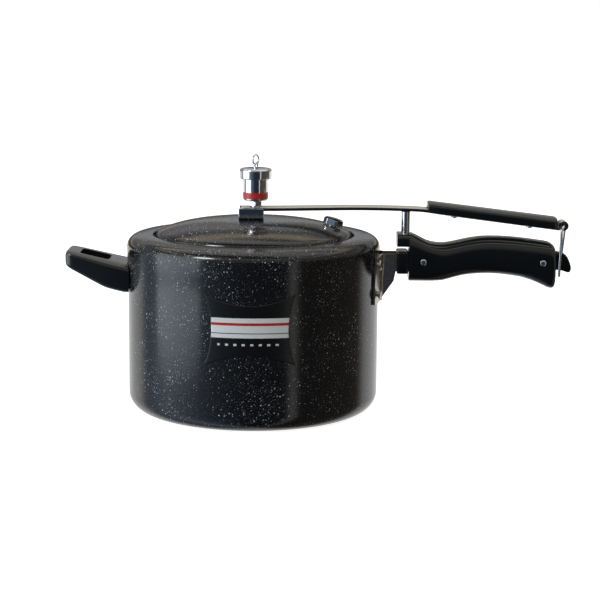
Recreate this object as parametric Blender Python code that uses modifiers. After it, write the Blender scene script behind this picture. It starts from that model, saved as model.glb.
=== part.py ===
"""Stovetop pressure cooker with an inner lid, in metres, +Z up.

The origin is the centre of the pot's flat underside and +X runs along the main handle.
"""

import math

import bmesh
import bpy
from mathutils import Matrix, Vector

GAP = 0.0003  # clearance between pieces that touch

# Pot
POT_RADIUS = 0.1100
POT_HEIGHT = 0.1541
POT_WALL = 0.0028
SHOULDER_SWELL = 0.0010  # how far the wall leans out under the shoulder
SWELL_HEIGHT = 0.030
RIM_LAND = 0.0220  # from the wall in to the mouth, along X
RIM_TURN = 0.0070  # from the wall in to where the shoulder starts
RIM_SLOPE = 0.14  # the rim falls from the mouth, this steep where the shoulder starts
BASE_FILLET = 0.0155
MOUTH_LENGTH = 2 * (POT_RADIUS - RIM_LAND)  # along X
MOUTH_NARROWING = 0.0110
MOUTH_WIDTH = MOUTH_LENGTH - MOUTH_NARROWING  # along Y
OVAL = MOUTH_WIDTH / MOUTH_LENGTH
POT_STEPS = 48

# Lid: radii along X, the oval factor gives those along Y
LID_SHEET = 0.0024
LID_CROWN = 0.0134  # above the rim
LID_DOME_EDGE = 0.0037  # above the rim
LID_DOME_POWER = 3.4
LID_ROLL = 0.0070  # radius of the rolled edge round the dome
LID_SIDE_CLEARANCE = 0.0017
LID_SIDE = MOUTH_LENGTH / 2 - LID_SIDE_CLEARANCE
LID_DOME_RADIUS = LID_SIDE - 0.0053
LID_FLANGE = 0.0057
GASKET_THICKNESS = 0.0019
LID_STEPS = 48

# Saddle, vent and weight
VENT_X = 0.0015
SADDLE_BACK = -0.0129
SADDLE_FRONT = 0.0086
SADDLE_HALF = 0.0126
SADDLE_SHEET = 0.0013
SADDLE_WALL_HEIGHT = 0.0097
PIN_X = -0.0084
PIN_RADIUS = 0.0013
STEM_RADIUS = 0.0040
VENT_THREAD = 0.0031
VENT_BORE = 0.0014
NOZZLE_RADIUS = 0.0030
NOZZLE_HEIGHT = 0.0150
COLLAR_HEIGHT = 0.0042
COLLAR_FLATS = 0.0105
WEIGHT_RADIUS = 0.0108
WEIGHT_HEIGHT = 0.0184
WEIGHT_BORE = 0.0052
BAND_HEIGHT = 0.0050
BAND_DEPTH = 0.0010
CAP_RADIUS = 0.0141
CAP_HEIGHT = 0.0090
RING_RADIUS = 0.0042
RING_WIRE = 0.0008
RING_TURN = 58.0  # degrees from +X, seen from above

# Safety valve
VALVE_X = LID_DOME_RADIUS - 0.0120
VALVE_FLATS = 0.0160
VALVE_HEIGHT = 0.0056
VALVE_THREAD = 0.0040

# Body bracket, flame guard and main handle
GUARD_START = POT_RADIUS + 0.0157
HANDLE_FRONT = GUARD_START + 0.0105
HANDLE_END = HANDLE_FRONT + 0.1287
HANDLE_TOP = POT_HEIGHT + 0.0023
NOSE_BOTTOM = HANDLE_TOP - 0.0120
HANDLE_DEPTH = 0.0423  # in front, under the nose
BRACKET_SHEET = 0.0018
BRACKET_TOP = HANDLE_TOP - 0.0179
BRACKET_BOTTOM = BRACKET_TOP - 0.0410
FLANGE_HALF = 0.0360
WEB_HALF = 0.0100
HANDLE_HALF = WEB_HALF + 0.0040
NECK_BOTTOM = BRACKET_TOP - 0.0153
BRACKET_END = HANDLE_FRONT + 0.0203
RIVET_Y = 0.0300
RIVET_HEIGHTS = (BRACKET_TOP - 0.0069, BRACKET_BOTTOM + 0.0089)
RIVET_SHANK = 0.0024
GUARD_WALL = 0.0019
SCREW_HEIGHT = BRACKET_TOP - 0.0068
FRONT_SCREW = HANDLE_FRONT + 0.0128
REAR_SCREW = HANDLE_END - 0.0111
SCREW_SHANK = 0.0020
SCREW_HEAD = 0.0038
RECESS_RADIUS = 0.0043
RECESS_DEPTH = 0.0022
HOOK_HALF = 0.0050
HOOK_ROOT = HANDLE_END - 0.0209
HOOK_TIP = HANDLE_END + 0.0145
HOOK_TOP = SCREW_HEIGHT + 0.0083
HOOK_LOW = SCREW_HEIGHT - 0.0082

# Lid bar, its stay and its grip
BAR_SHEET = 0.0026
BAR_HALF = 0.0098
BAR_RISE = 0.0010  # of the strip over the stay, above its start at the inner eye
STAY_X = GUARD_START + 0.0077
STAY_RADIUS = 0.00385
EYE_BORE = 0.0016
EYE_HALF = 0.0075
OUTER_EYE = (HANDLE_END + 0.0064, HANDLE_TOP + 0.0077)  # x, z
GRIP_START = STAY_X + 0.0186
GRIP_END = OUTER_EYE[0] - 0.0057
GRIP_HALF = BAR_HALF + 0.0024
GRIP_RISE_START = 0.0084  # above the strip's middle
GRIP_RISE_END = 0.0092
GRIP_SCREWS = (GRIP_START + 0.0240, GRIP_END - 0.0236)

# Lock loop
LOOP_WIRE = 0.0011
LOOP_HALF = 0.0115
LOOP_LENGTH = 0.0445

# Helper handle
HELPER_END = -POT_RADIUS - 0.0535
HELPER_HALF_POT = 0.0300
HELPER_HALF_END = 0.0225
TONGUE_Z = POT_HEIGHT - 0.0381
HELPER_TOP_POT = TONGUE_Z + 0.0118
HELPER_TOP_END = TONGUE_Z + 0.0240
HELPER_SLOT = (-POT_RADIUS - 0.0415, -POT_RADIUS - 0.0160)
HELPER_SLOT_HALF = 0.0140
HELPER_FLANGE_HALF = 0.0126
TONGUE_SHEET = 0.0020
TONGUE_END = -POT_RADIUS - 0.0145
HELPER_SCREW_X = -POT_RADIUS - 0.0106
HELPER_RIVETS = (TONGUE_Z + 0.0058, TONGUE_Z - 0.0058)

# Label
LABEL_HALF_WIDTH = 0.0385
LABEL_HALF_HEIGHT = 0.0300
LABEL_CENTRE = POT_HEIGHT - 0.0659
LABEL_PINCH_SIDE = 0.16
LABEL_PINCH_TOP = 0.30
LABEL_FOIL = 0.00025

for item in list(bpy.data.objects):
    bpy.data.objects.remove(item, do_unlink=True)

model = bpy.data.collections.new("pressure_cooker")
guides = bpy.data.collections.new("cutters")
bpy.context.scene.collection.children.link(model)
bpy.context.scene.collection.children.link(guides)


def material(name, colour, roughness, metallic):
    made = bpy.data.materials.new(name)
    made.use_nodes = True
    shader = made.node_tree.nodes["Principled BSDF"]
    shader.inputs["Base Color"].default_value = (*colour, 1.0)
    shader.inputs["Roughness"].default_value = roughness
    shader.inputs["Metallic"].default_value = metallic
    return made


def place(name, mesh, finish):
    """An object of the model with one material."""
    piece = bpy.data.objects.new(name, mesh)
    mesh.materials.clear()
    if finish:
        mesh.materials.append(finish)
    model.objects.link(piece)
    return piece


def as_cutter(piece):
    model.objects.unlink(piece)
    guides.objects.link(piece)
    piece.hide_render = True
    piece.display_type = "WIRE"
    return piece


def boolean(piece, other, operation="DIFFERENCE"):
    change = piece.modifiers.new(operation.lower(), "BOOLEAN")
    change.operation = operation
    change.solver = "EXACT"
    change.object = as_cutter(other)


def rounded_edges(piece, width, segments=2, angle=40):
    change = piece.modifiers.new("rounded", "BEVEL")
    change.width = width
    change.segments = segments
    change.limit_method = "ANGLE"
    change.angle_limit = math.radians(angle)


def settled(piece):
    """The piece's evaluated mesh, with its modifiers applied and its doubles merged."""
    bpy.context.view_layer.update()
    graph = bpy.context.evaluated_depsgraph_get()
    mesh = bpy.data.meshes.new_from_object(piece.evaluated_get(graph))
    shape = bmesh.new()
    shape.from_mesh(mesh)
    bmesh.ops.remove_doubles(shape, verts=shape.verts, dist=1e-6)
    shape.to_mesh(mesh)
    shape.free()
    return mesh


def round_shading(mesh, angle=35):
    mesh.shade_smooth()
    mesh.set_sharp_from_angle(angle=math.radians(angle))


def turned(name, profile, finish, centre=(0.0, 0.0), steps=40, closed=False):
    """A turned piece from (radius, height) points that run down its outer side."""
    shape = bmesh.new()
    points = [shape.verts.new((radius, 0.0, height)) for radius, height in profile]
    for first, second in zip(points, points[1:]):
        shape.edges.new((first, second))
    if closed:
        shape.edges.new((points[-1], points[0]))
    mesh = bpy.data.meshes.new(name)
    shape.to_mesh(mesh)
    shape.free()
    outline = place(name + "_profile", mesh, None)
    spin = outline.modifiers.new("spin", "SCREW")
    spin.steps = steps
    spin.render_steps = steps
    spin.use_merge_vertices = True
    spin.merge_threshold = 1e-5
    mesh = settled(outline)
    bpy.data.objects.remove(outline)
    mesh.transform(Matrix.Translation((centre[0], centre[1], 0.0)))
    round_shading(mesh)
    return place(name, mesh, finish)


def box(name, low, high, finish=None):
    shape = bmesh.new()
    bmesh.ops.create_cube(shape, size=1.0)
    low = Vector(low)
    size = Vector(high) - low
    for vert in shape.verts:
        vert.co = low + Vector((0.5 + vert.co.x, 0.5 + vert.co.y, 0.5 + vert.co.z)) * size
    mesh = bpy.data.meshes.new(name)
    shape.to_mesh(mesh)
    shape.free()
    return place(name, mesh, finish)


def rod(name, start, end, radius, finish=None, sides=24, end_radius=None):
    """A straight round or many-sided bar between two points."""
    start = Vector(start)
    along = Vector(end) - start
    shape = bmesh.new()
    bmesh.ops.create_cone(
        shape,
        cap_ends=True,
        segments=sides,
        radius1=radius,
        radius2=radius if end_radius is None else end_radius,
        depth=along.length,
    )
    turn = Vector((0, 0, 1)).rotation_difference(along).to_matrix().to_4x4()
    shape.transform(Matrix.Translation(start + along / 2) @ turn)
    mesh = bpy.data.meshes.new(name)
    shape.to_mesh(mesh)
    shape.free()
    round_shading(mesh)
    return place(name, mesh, finish)


def curve_mesh(name, curve):
    """A curve as a closed mesh."""
    holder = bpy.data.objects.new(name + "_curve", curve)
    model.objects.link(holder)
    mesh = settled(holder)
    bpy.data.objects.remove(holder)
    return mesh


def plate(name, outline, half, finish=None, plane="XZ", smooth=False, resolution=5):
    """A flat outline given thickness to both sides of its plane.

    With smooth, each point is (a, b, corner) and only the corners stay sharp.
    """
    curve = bpy.data.curves.new(name, "CURVE")
    curve.dimensions = "2D"
    curve.fill_mode = "BOTH"
    curve.extrude = half
    curve.resolution_u = resolution
    curve.render_resolution_u = resolution
    if smooth:
        spline = curve.splines.new("BEZIER")
        spline.bezier_points.add(len(outline) - 1)
        for point, (a, b, corner) in zip(spline.bezier_points, outline):
            kind = "VECTOR" if corner else "AUTO"
            point.co = (a, b, 0.0)
            point.handle_left_type = kind
            point.handle_right_type = kind
    else:
        spline = curve.splines.new("POLY")
        spline.points.add(len(outline) - 1)
        for point, (a, b) in zip(spline.points, outline):
            point.co = (a, b, 0.0, 1.0)
    spline.use_cyclic_u = True
    mesh = curve_mesh(name, curve)
    if plane == "XZ":
        mesh.transform(Matrix.Rotation(math.radians(90), 4, "X"))
    if plane == "YZ":
        mesh.transform(Matrix(((0, 0, 1, 0), (1, 0, 0, 0), (0, 1, 0, 0), (0, 0, 0, 1))))
    return place(name, mesh, finish)


def moved(piece, offset):
    piece.data.transform(Matrix.Translation(offset))
    return piece


def arc(centre, radius, start, end, count):
    """Points along an arc, angles in degrees."""
    angles = [math.radians(start + (end - start) * i / count) for i in range(count + 1)]
    return [(centre[0] + radius * math.cos(a), centre[1] + radius * math.sin(a)) for a in angles]


def softened(points, radius, count=3):
    """The open line with its corners rounded."""
    made = [points[0]]
    for before, corner, after in zip(points, points[1:], points[2:]):
        corner = Vector(corner)
        arm_in = Vector(before) - corner
        arm_out = Vector(after) - corner
        turn = math.pi - arm_in.angle(arm_out)
        if turn < math.radians(20):
            made.append(tuple(corner))
            continue
        reach = min(radius * math.tan(turn / 2), arm_in.length * 0.45, arm_out.length * 0.45)
        first = corner + arm_in.normalized() * reach
        last = corner + arm_out.normalized() * reach
        for i in range(count + 1):
            t = i / count
            point = first.lerp(corner, t).lerp(corner.lerp(last, t), t)
            made.append(tuple(point))
    made.append(points[-1])
    return made


def strip(centre_line, thickness):
    """The closed outline of a sheet whose middle follows an open line."""
    left = []
    right = []
    count = len(centre_line)
    for i, point in enumerate(centre_line):
        point = Vector(point)
        before = Vector(centre_line[max(i - 1, 0)])
        after = Vector(centre_line[min(i + 1, count - 1)])
        run_in = (point - before).normalized() if i > 0 else (after - point).normalized()
        run_out = (after - point).normalized() if i < count - 1 else run_in
        across = Vector((-(run_in.y + run_out.y), run_in.x + run_out.x)).normalized()
        reach = thickness / 2 / max(across.dot(Vector((-run_in.y, run_in.x))), 0.5)
        left.append(tuple(point + across * reach))
        right.append(tuple(point - across * reach))
    return left + right[::-1]


def catmull(points, count):
    """A smooth line through the points."""
    made = []
    padded = [points[0], *points, points[-1]]
    for a, b, c, d in zip(padded, padded[1:], padded[2:], padded[3:]):
        a, b, c, d = (Vector(p) for p in (a, b, c, d))
        for i in range(count):
            t = i / count
            slope_in = (c - a) / 2
            slope_out = (d - b) / 2
            made.append(
                tuple(
                    b * (2 * t**3 - 3 * t**2 + 1)
                    + slope_in * (t**3 - 2 * t**2 + t)
                    + c * (3 * t**2 - 2 * t**3)
                    + slope_out * (t**3 - t**2)
                )
            )
    made.append(tuple(points[-1]))
    return made


SHOULDER = POT_RADIUS + SHOULDER_SWELL
TURN_RADIUS = POT_RADIUS - RIM_TURN
RIM_TILT = math.atan(RIM_SLOPE)
SHOULDER_FILLET = (SHOULDER - TURN_RADIUS) / (1 - math.sin(RIM_TILT))


def rim_height(radius):
    """Top of the rim at a radius: highest at the mouth, with a growing fall outwards."""
    run = TURN_RADIUS - MOUTH_LENGTH / 2
    out = max(radius - MOUTH_LENGTH / 2, 0.0)
    return POT_HEIGHT - RIM_SLOPE * out * out / (2 * run)


SHOULDER_LOW = rim_height(TURN_RADIUS) - SHOULDER_FILLET * math.cos(RIM_TILT)


def wall_radius(height):
    """Outside radius of the pot's wall at a height."""
    t = min(max((height - SHOULDER_LOW + SWELL_HEIGHT) / SWELL_HEIGHT, 0.0), 1.0)
    return POT_RADIUS + SHOULDER_SWELL * t * t * (3 - 2 * t)


def dome_height(radius):
    """Top of the lid's dome at a radius along X."""
    drop = (LID_CROWN - LID_DOME_EDGE) * (radius / LID_DOME_RADIUS) ** LID_DOME_POWER
    return POT_HEIGHT + LID_CROWN - drop


coated = material("speckled_coat", (0.020, 0.021, 0.023), 0.28, 0.0)
steel = material("polished_steel", (0.62, 0.61, 0.59), 0.18, 1.0)
chrome = material("chrome", (0.75, 0.76, 0.78), 0.08, 1.0)
black = material("black_moulding", (0.010, 0.011, 0.012), 0.30, 0.0)
rubber = material("grey_rubber", (0.08, 0.08, 0.08), 0.70, 0.0)
red = material("red_band", (0.62, 0.02, 0.015), 0.45, 0.0)
foil = material("label_foil", (0.012, 0.012, 0.012), 0.30, 0.0)
alloy = material("fusible_alloy", (0.50, 0.50, 0.49), 0.40, 1.0)

# Pot: a turned shell, opened by its oval mouth
def pot_profile(inset):
    shoulder_centre = (SHOULDER - SHOULDER_FILLET, SHOULDER_LOW)
    base_centre = (POT_RADIUS - BASE_FILLET, BASE_FILLET)
    points = [(0.0, POT_HEIGHT - inset), (MOUTH_LENGTH / 2, POT_HEIGHT - inset)]
    for share in (0.5, 0.8):
        radius = MOUTH_LENGTH / 2 + (TURN_RADIUS - MOUTH_LENGTH / 2) * share
        points.append((radius, rim_height(radius) - inset))
    points += arc(shoulder_centre, SHOULDER_FILLET - inset, 90 - math.degrees(RIM_TILT), 0, 5)
    for share in (0.25, 0.5, 0.75, 1.0):
        height = SHOULDER_LOW - SWELL_HEIGHT * share
        points.append((wall_radius(height) - inset, height))
    points += arc(base_centre, BASE_FILLET - inset, 0, -90, 6)
    points.append((0.0, inset))
    return points


pot = turned("pot_body", pot_profile(0.0), coated, steps=POT_STEPS)
boolean(pot, turned("pot_cavity", pot_profile(POT_WALL), None, steps=POT_STEPS))
mouth = rod(
    "mouth_cut",
    (0, 0, POT_HEIGHT - POT_WALL * 2),
    (0, 0, POT_HEIGHT + POT_WALL),
    MOUTH_LENGTH / 2,
    sides=56,
)
mouth.data.transform(Matrix.Diagonal((1.0, OVAL, 1.0, 1.0)))
boolean(pot, mouth)

# Body bracket: a hat-shaped sheet, its flanges riveted to the wall
flange_radius = POT_RADIUS + GAP + BRACKET_SHEET / 2
web_middle = WEB_HALF - BRACKET_SHEET / 2
flange_angle = math.degrees(math.asin(FLANGE_HALF / flange_radius))
web_angle = math.degrees(math.asin(web_middle / flange_radius))
half_plan = arc((0, 0), flange_radius, flange_angle, web_angle, 6)
half_plan.append((BRACKET_END - BRACKET_SHEET / 2, web_middle))
plan = half_plan + [(x, -y) for x, y in reversed(half_plan)]
bracket = plate(
    "body_bracket",
    strip(softened(plan, 0.004), BRACKET_SHEET),
    (BRACKET_TOP - BRACKET_BOTTOM) / 2,
    steel,
    plane="XY",
)
moved(bracket, (0, 0, (BRACKET_TOP + BRACKET_BOTTOM) / 2))
for vert in bracket.data.vertices:
    if vert.co.x < POT_RADIUS + SWELL_HEIGHT / 3:
        vert.co.x += wall_radius(vert.co.z) - POT_RADIUS
web_start = POT_RADIUS + 0.0030
web_cut = [
    (web_start, BRACKET_BOTTOM - 0.005),
    (web_start, BRACKET_BOTTOM + 0.0025),
    (GUARD_START - 0.0025, NECK_BOTTOM - 0.0085),
    (GUARD_START - 0.0008, NECK_BOTTOM),
    (BRACKET_END + 0.01, NECK_BOTTOM),
    (BRACKET_END + 0.01, BRACKET_BOTTOM - 0.005),
]
boolean(bracket, plate("web_cut", web_cut, WEB_HALF + 0.002))


def wall_rivet(name, angle, height, sheet, shank):
    """A rivet along the wall's radius, through a sheet of the given thickness."""
    outside = wall_radius(height)
    across = Vector((math.cos(angle), math.sin(angle), 0.0))
    inner = outside - POT_WALL - GAP * 2
    outer = outside + GAP + sheet + GAP * 3 + SHOULDER_SWELL
    head = shank * 1.9
    profile = [(0.0, outer + 0.0020)]
    profile += [(head * 0.45, outer + 0.0018), (head * 0.85, outer + 0.0009), (head, outer)]
    profile += [(shank, outer), (shank, inner), (head * 0.8, inner)]
    profile += [(head * 0.8, inner - 0.0008), (0.0, inner - 0.0008)]
    rivet = turned(name, profile, steel, steps=14)
    turn = Vector((0, 0, 1)).rotation_difference(across).to_matrix().to_4x4()
    rivet.data.transform(Matrix.Translation((0, 0, height)) @ turn)
    for holed in ("wall", "sheet"):
        start = across * (inner - 0.004) if holed == "wall" else across * (outside + GAP / 2)
        end = across * (outside + GAP) if holed == "wall" else across * (outer + 0.003)
        hole = rod(
            name + "_" + holed,
            start + Vector((0, 0, height)),
            end + Vector((0, 0, height)),
            shank + GAP,
            sides=14,
        )
        yield hole


count = 0
for side in (-1, 1):
    for height in RIVET_HEIGHTS:
        count += 1
        angle = side * math.asin(RIVET_Y / flange_radius)
        in_wall, in_sheet = wall_rivet(
            f"bracket_rivet_{count}", angle, height, BRACKET_SHEET, RIVET_SHANK
        )
        boolean(pot, in_wall)
        boolean(bracket, in_sheet)

# Flame guard: a collar round the bracket's neck
guard_half = WEB_HALF + GAP + GUARD_WALL
guard = box(
    "flame_guard",
    (GUARD_START, -guard_half, NECK_BOTTOM - GAP - GUARD_WALL),
    (HANDLE_FRONT - GAP, guard_half, BRACKET_TOP + GAP + GUARD_WALL),
    black,
)
rounded_edges(guard, 0.0014)
boolean(
    guard,
    box(
        "guard_cut",
        (GUARD_START - 0.01, -WEB_HALF - GAP, NECK_BOTTOM - GAP),
        (HANDLE_FRONT + 0.01, WEB_HALF + GAP, BRACKET_TOP + GAP),
    ),
)

# Main handle: one moulding, deep in front, with a nose that carries the stay
handle_line = [  # from the front of the grip and from the top of the nose
    (0.0018, 0.0000, True),
    (0.0096, -0.0037, False),
    (0.0158, -0.0068, False),
    (0.0238, -0.0086, False),
    (0.0298, -0.0087, False),
    (0.0388, -0.0074, False),
    (0.0475, -0.0053, False),
    (0.0708, -0.0023, False),
    (0.0988, -0.0037, False),
    (0.1223, -0.0070, False),
    (0.1274, -0.0102, False),
    (0.1287, -0.0164, False),
    (0.1287, -0.0314, False),
    (0.1287, -0.0444, False),
    (0.1253, -0.0479, False),
    (0.1138, -0.0433, False),
    (0.1002, -0.0385, False),
    (0.0707, -0.0352, False),
    (0.0498, -0.0367, False),
    (0.0378, -0.0398, False),
    (0.0293, -0.0421, False),
    (0.0198, -0.0423, False),
]
handle_outline = [(GUARD_START, NOSE_BOTTOM, True), (GUARD_START, HANDLE_TOP, True)]
handle_outline += [(HANDLE_FRONT + x, HANDLE_TOP + z, corner) for x, z, corner in handle_line]
handle_outline += [
    (HANDLE_FRONT, HANDLE_TOP - HANDLE_DEPTH, True),
    (HANDLE_FRONT, NOSE_BOTTOM - 0.0032, True),
    (HANDLE_FRONT - 0.0016, NOSE_BOTTOM - 0.0010, True),
    (HANDLE_FRONT - 0.0045, NOSE_BOTTOM, True),
]
handle = plate("main_handle", handle_outline, HANDLE_HALF, black, smooth=True, resolution=3)
rounded_edges(handle, 0.0030)
handle_pocket = box(
    "bracket_pocket",
    (HANDLE_FRONT - 0.01, -WEB_HALF - GAP, NECK_BOTTOM - GAP),
    (BRACKET_END + GAP, WEB_HALF + GAP, BRACKET_TOP + GAP),
)
boolean(handle, handle_pocket)
stay_foot = NOSE_BOTTOM + 0.0030
boolean(
    handle,
    rod("stay_hole", (STAY_X, 0, stay_foot - GAP), (STAY_X, 0, HANDLE_TOP + 0.01), STAY_RADIUS + GAP),
)

# Latch hook: a plate whose beak turns down outside the handle's end
beak = [  # from the handle's end and from the screw
    (0.0076, 0.0076),
    (0.0107, 0.0049),
    (0.0133, -0.0005),
    (0.0145, -0.0051),
    (0.0138, -0.0081),
    (0.0119, -0.0092),
    (0.0086, -0.0082),
    (0.0051, -0.0072),
]
hook_outline = [
    (HOOK_ROOT, HOOK_LOW, True),
    (HOOK_ROOT, HOOK_TOP, True),
    (HANDLE_END + 0.0007, HOOK_TOP + 0.0008, True),
]
hook_outline += [(HANDLE_END + x, SCREW_HEIGHT + z, False) for x, z in beak]
hook_outline += [
    (HANDLE_END + 0.0013, HOOK_LOW + 0.0012, True),
    (HANDLE_END + 0.0006, HOOK_LOW, True),
]
hook = plate("latch_hook", hook_outline, HOOK_HALF, black, smooth=True, resolution=3)
rounded_edges(hook, 0.0009, segments=1)
boolean(
    handle,
    box(
        "hook_slot",
        (HOOK_ROOT - GAP, -HOOK_HALF - GAP, HOOK_LOW - GAP),
        (HANDLE_END + 0.01, HOOK_HALF + GAP, HOOK_TOP + 0.0008 + GAP),
    ),
)


def cross_screw(place_name, x, holed):
    """A screw and nut across the handle, sunk in round recesses on both sides."""
    floor = HANDLE_HALF - RECESS_DEPTH
    profile = [(0.0, floor + GAP + 0.0017), (SCREW_HEAD * 0.8, floor + GAP + 0.0017)]
    profile += [(SCREW_HEAD, floor + GAP + 0.0010), (SCREW_HEAD, floor + GAP)]
    profile += [(SCREW_SHANK, floor + GAP), (SCREW_SHANK, -HANDLE_HALF + 0.0004)]
    profile += [(0.0, -HANDLE_HALF + 0.0004)]
    screw = turned("handle_screw_" + place_name, profile, chrome, steps=20)
    lay = Matrix.Translation((x, 0, SCREW_HEIGHT)) @ Matrix.Rotation(math.radians(90), 4, "X")
    screw.data.transform(lay)
    for turn in (45, 135):
        arm = box("slot_" + place_name, (-0.0022, -0.0004, floor + 0.0012), (0.0022, 0.0004, 0.02))
        arm.data.transform(lay @ Matrix.Rotation(math.radians(turn), 4, "Z"))
        boolean(screw, arm)
    nut = rod(
        "handle_nut_" + place_name,
        (x, floor + GAP, SCREW_HEIGHT),
        (x, floor + RECESS_DEPTH - GAP, SCREW_HEIGHT),
        RECESS_RADIUS - GAP * 2,
        chrome,
        sides=6,
    )
    bore_ends = [(x, -HANDLE_HALF * 2, SCREW_HEIGHT), (x, HANDLE_HALF * 2, SCREW_HEIGHT)]
    boolean(nut, rod("nut_bore", *bore_ends, SCREW_SHANK + GAP, sides=20))
    for piece in holed:
        boolean(piece, rod("screw_bore", *bore_ends, SCREW_SHANK + GAP, sides=20))
    for side in (-1, 1):
        ends = [(x, side * floor, SCREW_HEIGHT), (x, side * HANDLE_HALF * 2, SCREW_HEIGHT)]
        boolean(handle, rod("screw_recess", *ends, RECESS_RADIUS))


cross_screw("front", FRONT_SCREW, [handle, bracket])
cross_screw("rear", REAR_SCREW, [handle, hook])

# Lid stay: the post that the bar rocks on
saddle_floor = POT_HEIGHT + LID_CROWN + GAP
saddle_web = saddle_floor + SADDLE_SHEET
pin_height = saddle_web + GAP + EYE_BORE + BAR_SHEET
bar_at_stay = pin_height + EYE_BORE + BAR_SHEET / 2 + BAR_RISE  # the strip's middle
stay_top = bar_at_stay - BAR_SHEET / 2 - 0.0004
turned(
    "lid_stay",
    [(0.0, stay_top), (STAY_RADIUS - 0.0010, stay_top), (STAY_RADIUS, stay_top - 0.0008),
     (STAY_RADIUS, stay_foot), (0.0, stay_foot)],
    chrome,
    centre=(STAY_X, 0.0),
    steps=28,
)

# Helper handle: a tapered moulding with a slot, screwed to a riveted bracket
helper_outline = [
    (-POT_RADIUS + 0.0150, HELPER_TOP_POT - 0.0030),
    (-POT_RADIUS + 0.0030, HELPER_TOP_POT),
    (HELPER_END + 0.0028, HELPER_TOP_END),
    (HELPER_END, HELPER_TOP_END - 0.0130),
    (-POT_RADIUS - 0.0184, TONGUE_Z - 0.0074),
    (-POT_RADIUS - 0.0021, TONGUE_Z - 0.0113),
    (-POT_RADIUS + 0.0150, TONGUE_Z - 0.0120),
]
helper = plate("helper_handle", helper_outline, HELPER_HALF_POT * 1.5, black)
half_side = [(-POT_RADIUS + 0.0150, HELPER_HALF_POT), (-POT_RADIUS + 0.0040, HELPER_HALF_POT)]
half_side += [(HELPER_END, HELPER_HALF_END), (HELPER_END, 0.0)]
side_line = softened(half_side, 0.007)
helper_plan = plate("helper_plan", side_line + [(x, -y) for x, y in reversed(side_line[:-1])],
                    0.05, plane="XY")
moved(helper_plan, (0, 0, TONGUE_Z))
boolean(helper, helper_plan, "INTERSECT")
rounded_edges(helper, 0.0022)
slot = box(
    "helper_slot",
    (HELPER_SLOT[0], -HELPER_SLOT_HALF, TONGUE_Z - 0.03),
    (HELPER_SLOT[1], HELPER_SLOT_HALF, TONGUE_Z + 0.04),
)
rounded_edges(slot, 0.0030)
boolean(helper, slot)
boolean(
    helper,
    rod("wall_clearance", (0, 0, TONGUE_Z - 0.03), (0, 0, TONGUE_Z + 0.04), SHOULDER + GAP,
        sides=POT_STEPS * 2),
)

helper_flange = POT_RADIUS + GAP + TONGUE_SHEET / 2
flange_half_angle = math.degrees(math.asin(HELPER_FLANGE_HALF / helper_flange))
helper_bracket = plate(
    "helper_bracket",
    strip(arc((0, 0), helper_flange, 180 - flange_half_angle, 180 + flange_half_angle, 6),
          TONGUE_SHEET),
    0.0098,
    steel,
    plane="XY",
)
moved(helper_bracket, (0, 0, TONGUE_Z))
for vert in helper_bracket.data.vertices:
    vert.co.x -= wall_radius(vert.co.z) - POT_RADIUS
tongue = box(
    "tongue",
    (TONGUE_END, -0.0080, TONGUE_Z - TONGUE_SHEET / 2),
    (-helper_flange, 0.0080, TONGUE_Z + TONGUE_SHEET / 2),
)
boolean(helper_bracket, tongue, "UNION")
boolean(
    helper,
    box("flange_pocket", (-POT_RADIUS - 0.0068, -HELPER_FLANGE_HALF - 0.0009, TONGUE_Z - 0.0103),
        (-POT_RADIUS + 0.01, HELPER_FLANGE_HALF + 0.0009, TONGUE_Z + 0.0103)),
)
boolean(
    helper,
    box(
        "tongue_pocket",
        (TONGUE_END - GAP, -0.0083, TONGUE_Z - TONGUE_SHEET / 2 - GAP),
        (-POT_RADIUS + 0.01, 0.0083, TONGUE_Z + TONGUE_SHEET / 2 + GAP),
    ),
)
for label_name, height in zip(("upper", "lower"), HELPER_RIVETS):
    in_wall, in_sheet = wall_rivet("helper_rivet_" + label_name, math.pi, height, TONGUE_SHEET, 0.0019)
    boolean(pot, in_wall)
    boolean(helper_bracket, in_sheet)
screw_seat = TONGUE_Z - 0.0055
screw_tip = TONGUE_Z + 0.0065
helper_screw = turned(
    "helper_screw",
    [(0.0, screw_tip), (0.0016, screw_tip), (0.0016, screw_seat), (0.0030, screw_seat),
     (0.0030, screw_seat - 0.0012), (0.0023, screw_seat - 0.0020), (0.0, screw_seat - 0.0020)],
    steel,
    centre=(HELPER_SCREW_X, 0.0),
    steps=20,
)
screw_line = [(HELPER_SCREW_X, 0, TONGUE_Z - 0.016), (HELPER_SCREW_X, 0, screw_tip + GAP)]
boolean(helper, rod("helper_bore", *screw_line, 0.0016 + GAP, sides=20))
boolean(helper, rod("helper_seat", (HELPER_SCREW_X, 0, TONGUE_Z - 0.016), (HELPER_SCREW_X, 0, screw_seat + GAP),
                    0.0034, sides=20))
boolean(helper_bracket, rod("tongue_bore", *screw_line, 0.0016 + GAP, sides=20))

# Label: a thin foil with four points and hollow sides, wrapped on the wall
shape = bmesh.new()
bmesh.ops.create_grid(shape, x_segments=12, y_segments=6, size=1.0)
for vert in shape.verts:
    s, t = vert.co.x, vert.co.y
    around = s * LABEL_HALF_WIDTH * (1 - LABEL_PINCH_SIDE * (1 - t * t)) / POT_RADIUS
    height = LABEL_CENTRE + t * LABEL_HALF_HEIGHT * (1 - LABEL_PINCH_TOP * (1 - s * s))
    radius = POT_RADIUS + GAP + (wall_radius(height) - POT_RADIUS)
    vert.co = (radius * math.sin(around), -radius * math.cos(around), height)
label_mesh = bpy.data.meshes.new("label")
shape.to_mesh(label_mesh)
shape.free()
label = place("label", label_mesh, foil)
thick = label.modifiers.new("foil", "SOLIDIFY")
thick.thickness = LABEL_FOIL
thick.offset = 1.0

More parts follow.
